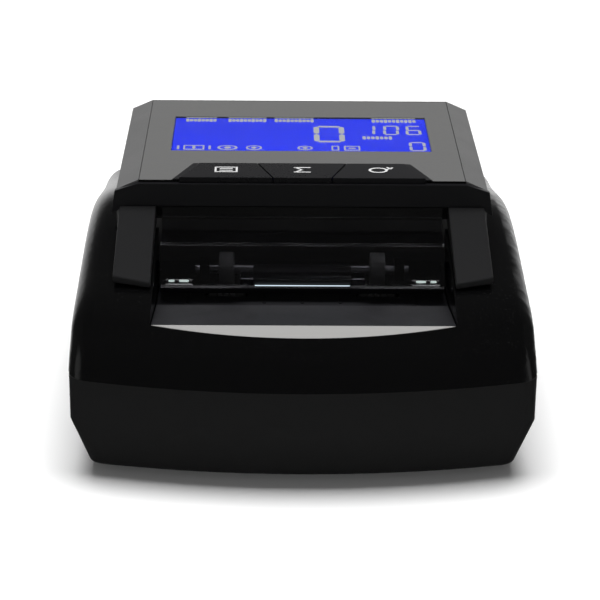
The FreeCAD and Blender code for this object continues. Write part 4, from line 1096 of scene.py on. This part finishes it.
@dataclass
class NotePath:
    """The guides and rollers that carry a note through."""

    roundings: tuple[tuple, ...] = (("lower_guide", 0.25, 3, "tray_grey"), ("upper_guide", 0.25),
                                    ("entry_sensor_bar", 0.25), ("magnetic_heads", 0.3),
                                    ("lower_sensor_window", 0.2), ("upper_sensor_window", 0.2))
    spread: float = 48.0
    tread_grooves: int = 4
    tread_depth: float = 0.35
    drive_bore: float = 2.6
    pinch_bore: float = 1.7
    ribs: tuple[float, ...] = (-47.0, -36.0, -12.0, 0.0, 12.0, 36.0, 47.0)
    rib_width: float = 1.2
    rib_height: float = 0.3
    eye_count: int = 9

    def drive_profile(self, radius: float, width: float) -> Profile:
        """A tyre's outline with grooves round its tread.

        Args:
            radius: radius of the tread in millimetres.
            width: width of the tyre.

        Returns:
            Radius and height of each point.
        """
        step = (width - 1.6) / (self.tread_grooves + 1)
        outline = [(self.drive_bore, 0.0), (radius - 1.4, 0.0), (radius - 1.2, 0.25),
                   (radius - 0.5, 0.05), (radius, 0.6)]
        floor = radius - self.tread_depth
        for groove in range(self.tread_grooves):
            z = 0.8 + (groove + 1) * step
            outline += [(radius, z - 0.3), (floor, z - 0.12), (floor, z + 0.12), (radius, z + 0.3)]
        outline += [(radius, width - 0.6), (radius - 0.5, width - 0.05),
                    (radius - 1.2, width - 0.25), (radius - 1.4, width), (self.drive_bore, width)]
        return outline + [outline[0]]

    def pinch_profile(self, radius: float, width: float) -> Profile:
        """A small wheel's outline with a rim on each side.

        Args:
            radius: radius of the wheel in millimetres.
            width: width of the wheel.

        Returns:
            Radius and height of each point.
        """
        side = [(self.pinch_bore, 0.0), (2.6, 0.0), (2.9, 0.5), (radius - 1.5, 0.5),
                (radius - 1.2, 0.1), (radius - 0.3, 0.1), (radius, 0.5)]
        return side + [(r, width - z) for r, z in reversed(side)] + [side[0]]

    def rollers(self) -> None:
        """Turns the four tyres and the four small wheels."""
        for kind, outline, steps in (("drive", self.drive_profile, 72),
                                     ("pinch", self.pinch_profile, 56)):
            for end in ("front", "rear"):
                node = f"{end}_{kind}_rollers"
                low, high = corners(node)
                middle = (low + high) / 2
                width = 2 * (high.x - self.spread / 2)
                mould = Mould()
                for x in (-self.spread / 2, self.spread / 2):
                    mould.turned(outline((high.z - low.z) / 2, width),
                                 at(x - width / 2, middle.y, middle.z, (0, 90, 0)), steps)
                mould.piece(f"{end}_{kind}_wheels", node, replaces=True, smooth=30.0)

    def runners(self) -> None:
        """Lays low rounded runners on the lower guide, clear of the rollers and the sensors."""
        low, high = corners("lower_guide")
        sensor_low, sensor_high = corners("lower_sensor_window")
        mould = Mould()
        for x in self.ribs:
            spans = [(low.y + 2.0, high.y - 2.5)]
            if abs(x) < sensor_high.x + 1.0:
                spans = [(low.y + 2.0, sensor_low.y - 1.0), (sensor_high.y + 1.0, high.y - 2.5)]
            for start, end in spans:
                mould.bar((self.rib_width, end - start, self.rib_height),
                          at(x, (start + end) / 2, high.z + self.rib_height / 2),
                          self.rib_width / 2 - 0.02, 4)
        mould.soften(0.12, 2)
        mould.piece("guide_runners", "lower_guide")

    def eyes(self) -> None:
        """Sets a row of lamps and receivers behind each sensor window."""
        for side, rise in (("lower", -1), ("upper", 1)):
            low, high = corners(side + "_sensor_window")
            level = low.z if rise < 0 else high.z
            lamps = Mould()
            for eye in range(self.eye_count):
                x = low.x + (eye + 0.5) * (high.x - low.x) / self.eye_count
                dome = [(0.0, 1.0), (0.7, 0.85), (1.2, 0.4), (1.3, 0.0), (1.6, 0.0), (1.6, -0.3),
                        (0.0, -0.3)]
                lamps.turned(dome, at(x, (low.y + high.y) / 2, level - rise * 0.35,
                                      (180.0 if rise > 0 else 0.0, 0, 0)), 20)
            lamps.piece(side + "_sensor_eyes", side + "_sensor_window", "eye_violet")

    def build(self) -> None:
        """Makes everything along the note's way."""
        for row in self.roundings:
            softened(*row)
        self.rollers()
        self.runners()
        self.eyes()


@dataclass
class RearFittings:
    """What the sockets and the power switch show at the back."""

    rounding: float = 0.15
    contacts: int = 5
    contact_pitch: float = 0.8
    sign_height: float = 0.06

    def socket_tongue(self) -> None:
        """Makes the update socket's tongue with its contacts."""
        low, high = corners("update_socket")
        x, z = (low.x + high.x) / 2, (low.z + high.z) / 2
        tongue = Mould().bar((4.6, 4.4, 0.7), at(x, high.y - 3.6, z), 0.3, 2)
        tongue.piece("socket_tongue", "update_socket", "connector_black")
        pins = Mould()
        for pin in range(self.contacts):
            offset = (pin - (self.contacts - 1) / 2) * self.contact_pitch
            pins.bar((0.4, 3.6, 0.12), at(x + offset, high.y - 3.7, z + 0.4), 0.1, 2)
        pins.piece("socket_contacts", "update_socket", "bronze")

    def rocker_signs(self) -> None:
        """Prints the on stroke and the off ring on the rocker's two halves."""
        mesh = frame["nodes"]["power_rocker"].data
        low, high = corners("power_rocker")
        middle = (low.x + high.x) / 2
        faces = [p for p in mesh.polygons if p.normal.y > 0.7]
        for name, share in (("on", 0.78), ("off", 0.22)):
            height = low.z + share * (high.z - low.z)
            goal = Vector((middle, high.y, height)) * MM
            near = min(faces, key=lambda p: (p.center - goal).length)
            lean = math.degrees(math.atan2(near.normal.z, near.normal.y))
            spot = near.center / MM
            place = at(middle, spot.y - (height - spot.z) * near.normal.z / near.normal.y, height,
                       (-90 + lean, 0, 0))
            mark = Mould()
            if name == "on":
                mark.bar((0.6, 1.9, self.sign_height), place, 0.25, 2)
            else:
                mark.turned(ring(0.7, 1.15, self.sign_height), place, 28)
            mark.piece(f"rocker_{name}_sign", "power_rocker", "mark_pale")

    def build(self) -> None:
        """Makes the rear fittings."""
        for node in ("power_inlet", "power_switch", "power_rocker", "update_socket"):
            softened(node, self.rounding, 2)
        self.socket_tongue()
        self.rocker_signs()


@dataclass
class BoardParts:
    """Components that stand on the main board, placed in millimetres."""

    cans: tuple = ((-38.0, -44.0, 3.1, 9.0), (-30.0, -45.0, 2.5, 7.0), (14.0, -44.0, 2.5, 7.0))
    plugs: tuple = ((-8.0, -48.0), (30.0, -48.0), (2.0, -48.0))
    legs_from: float = -32.0
    legs_to: float = 26.0
    leg_rows: tuple[float, float] = (-36.6, -11.4)
    leg_count: int = 24

    def build(self) -> None:
        """Places capacitors, plugs and the legs of the chips."""
        top = corners("main_board")[1].z
        cans = Mould()
        for x, y, radius, height in self.cans:
            cans.turned([(0.0, 0.0), (radius - 0.3, 0.0), (radius, 0.3), (radius, 0.9),
                         (radius - 0.25, 1.2), (radius, 1.5), (radius, height - 0.4),
                         (radius - 0.4, height), (radius - 0.8, height - 0.1), (0.0, height - 0.1)],
                        at(x, y, top), 32)
        cans.piece("board_capacitors", "board_chips", "steel")
        plugs = Mould()
        for x, y in self.plugs:
            plugs.bar((7.0, 4.6, 4.5), at(x, y, top + 2.25), 0.4, 2)
        plugs.soften(0.2, 2)
        plugs.piece("board_plugs", "board_chips", "wheel_white")
        legs = Mould()
        for leg in range(self.leg_count):
            x = self.legs_from + (leg + 0.5) * (self.legs_to - self.legs_from) / self.leg_count
            for y in self.leg_rows:
                legs.bar((0.5, 1.1, 0.25), at(x, y, top + 0.15), 0.12, 2)
        legs.piece("chip_legs", "board_chips", "steel")


class Carried:
    """The CAD nodes that no new piece stands for."""

    def build(self) -> None:
        """Gives every node that still shows its own finish."""
        shown = {node: item for node, item in frame["nodes"].items() if not item.hide_render}
        for node, item in shown.items():
            item.data.materials.clear()
            item.data.materials.append(MATERIALS[SLOTS[node]])
        log.info("dressed %d nodes", len(shown))


def main() -> None:
    """Builds the scene in order."""
    logging.basicConfig(level=logging.INFO, format="%(name)s: %(message)s")
    Studio().build()
    for assembly in (CaseShells(), Feet(), Fasteners(), DisplayHead(), NotePath(), RearFittings(),
                     BoardParts(), Carried()):
        assembly.build()


if __name__ == "__main__":
    main()
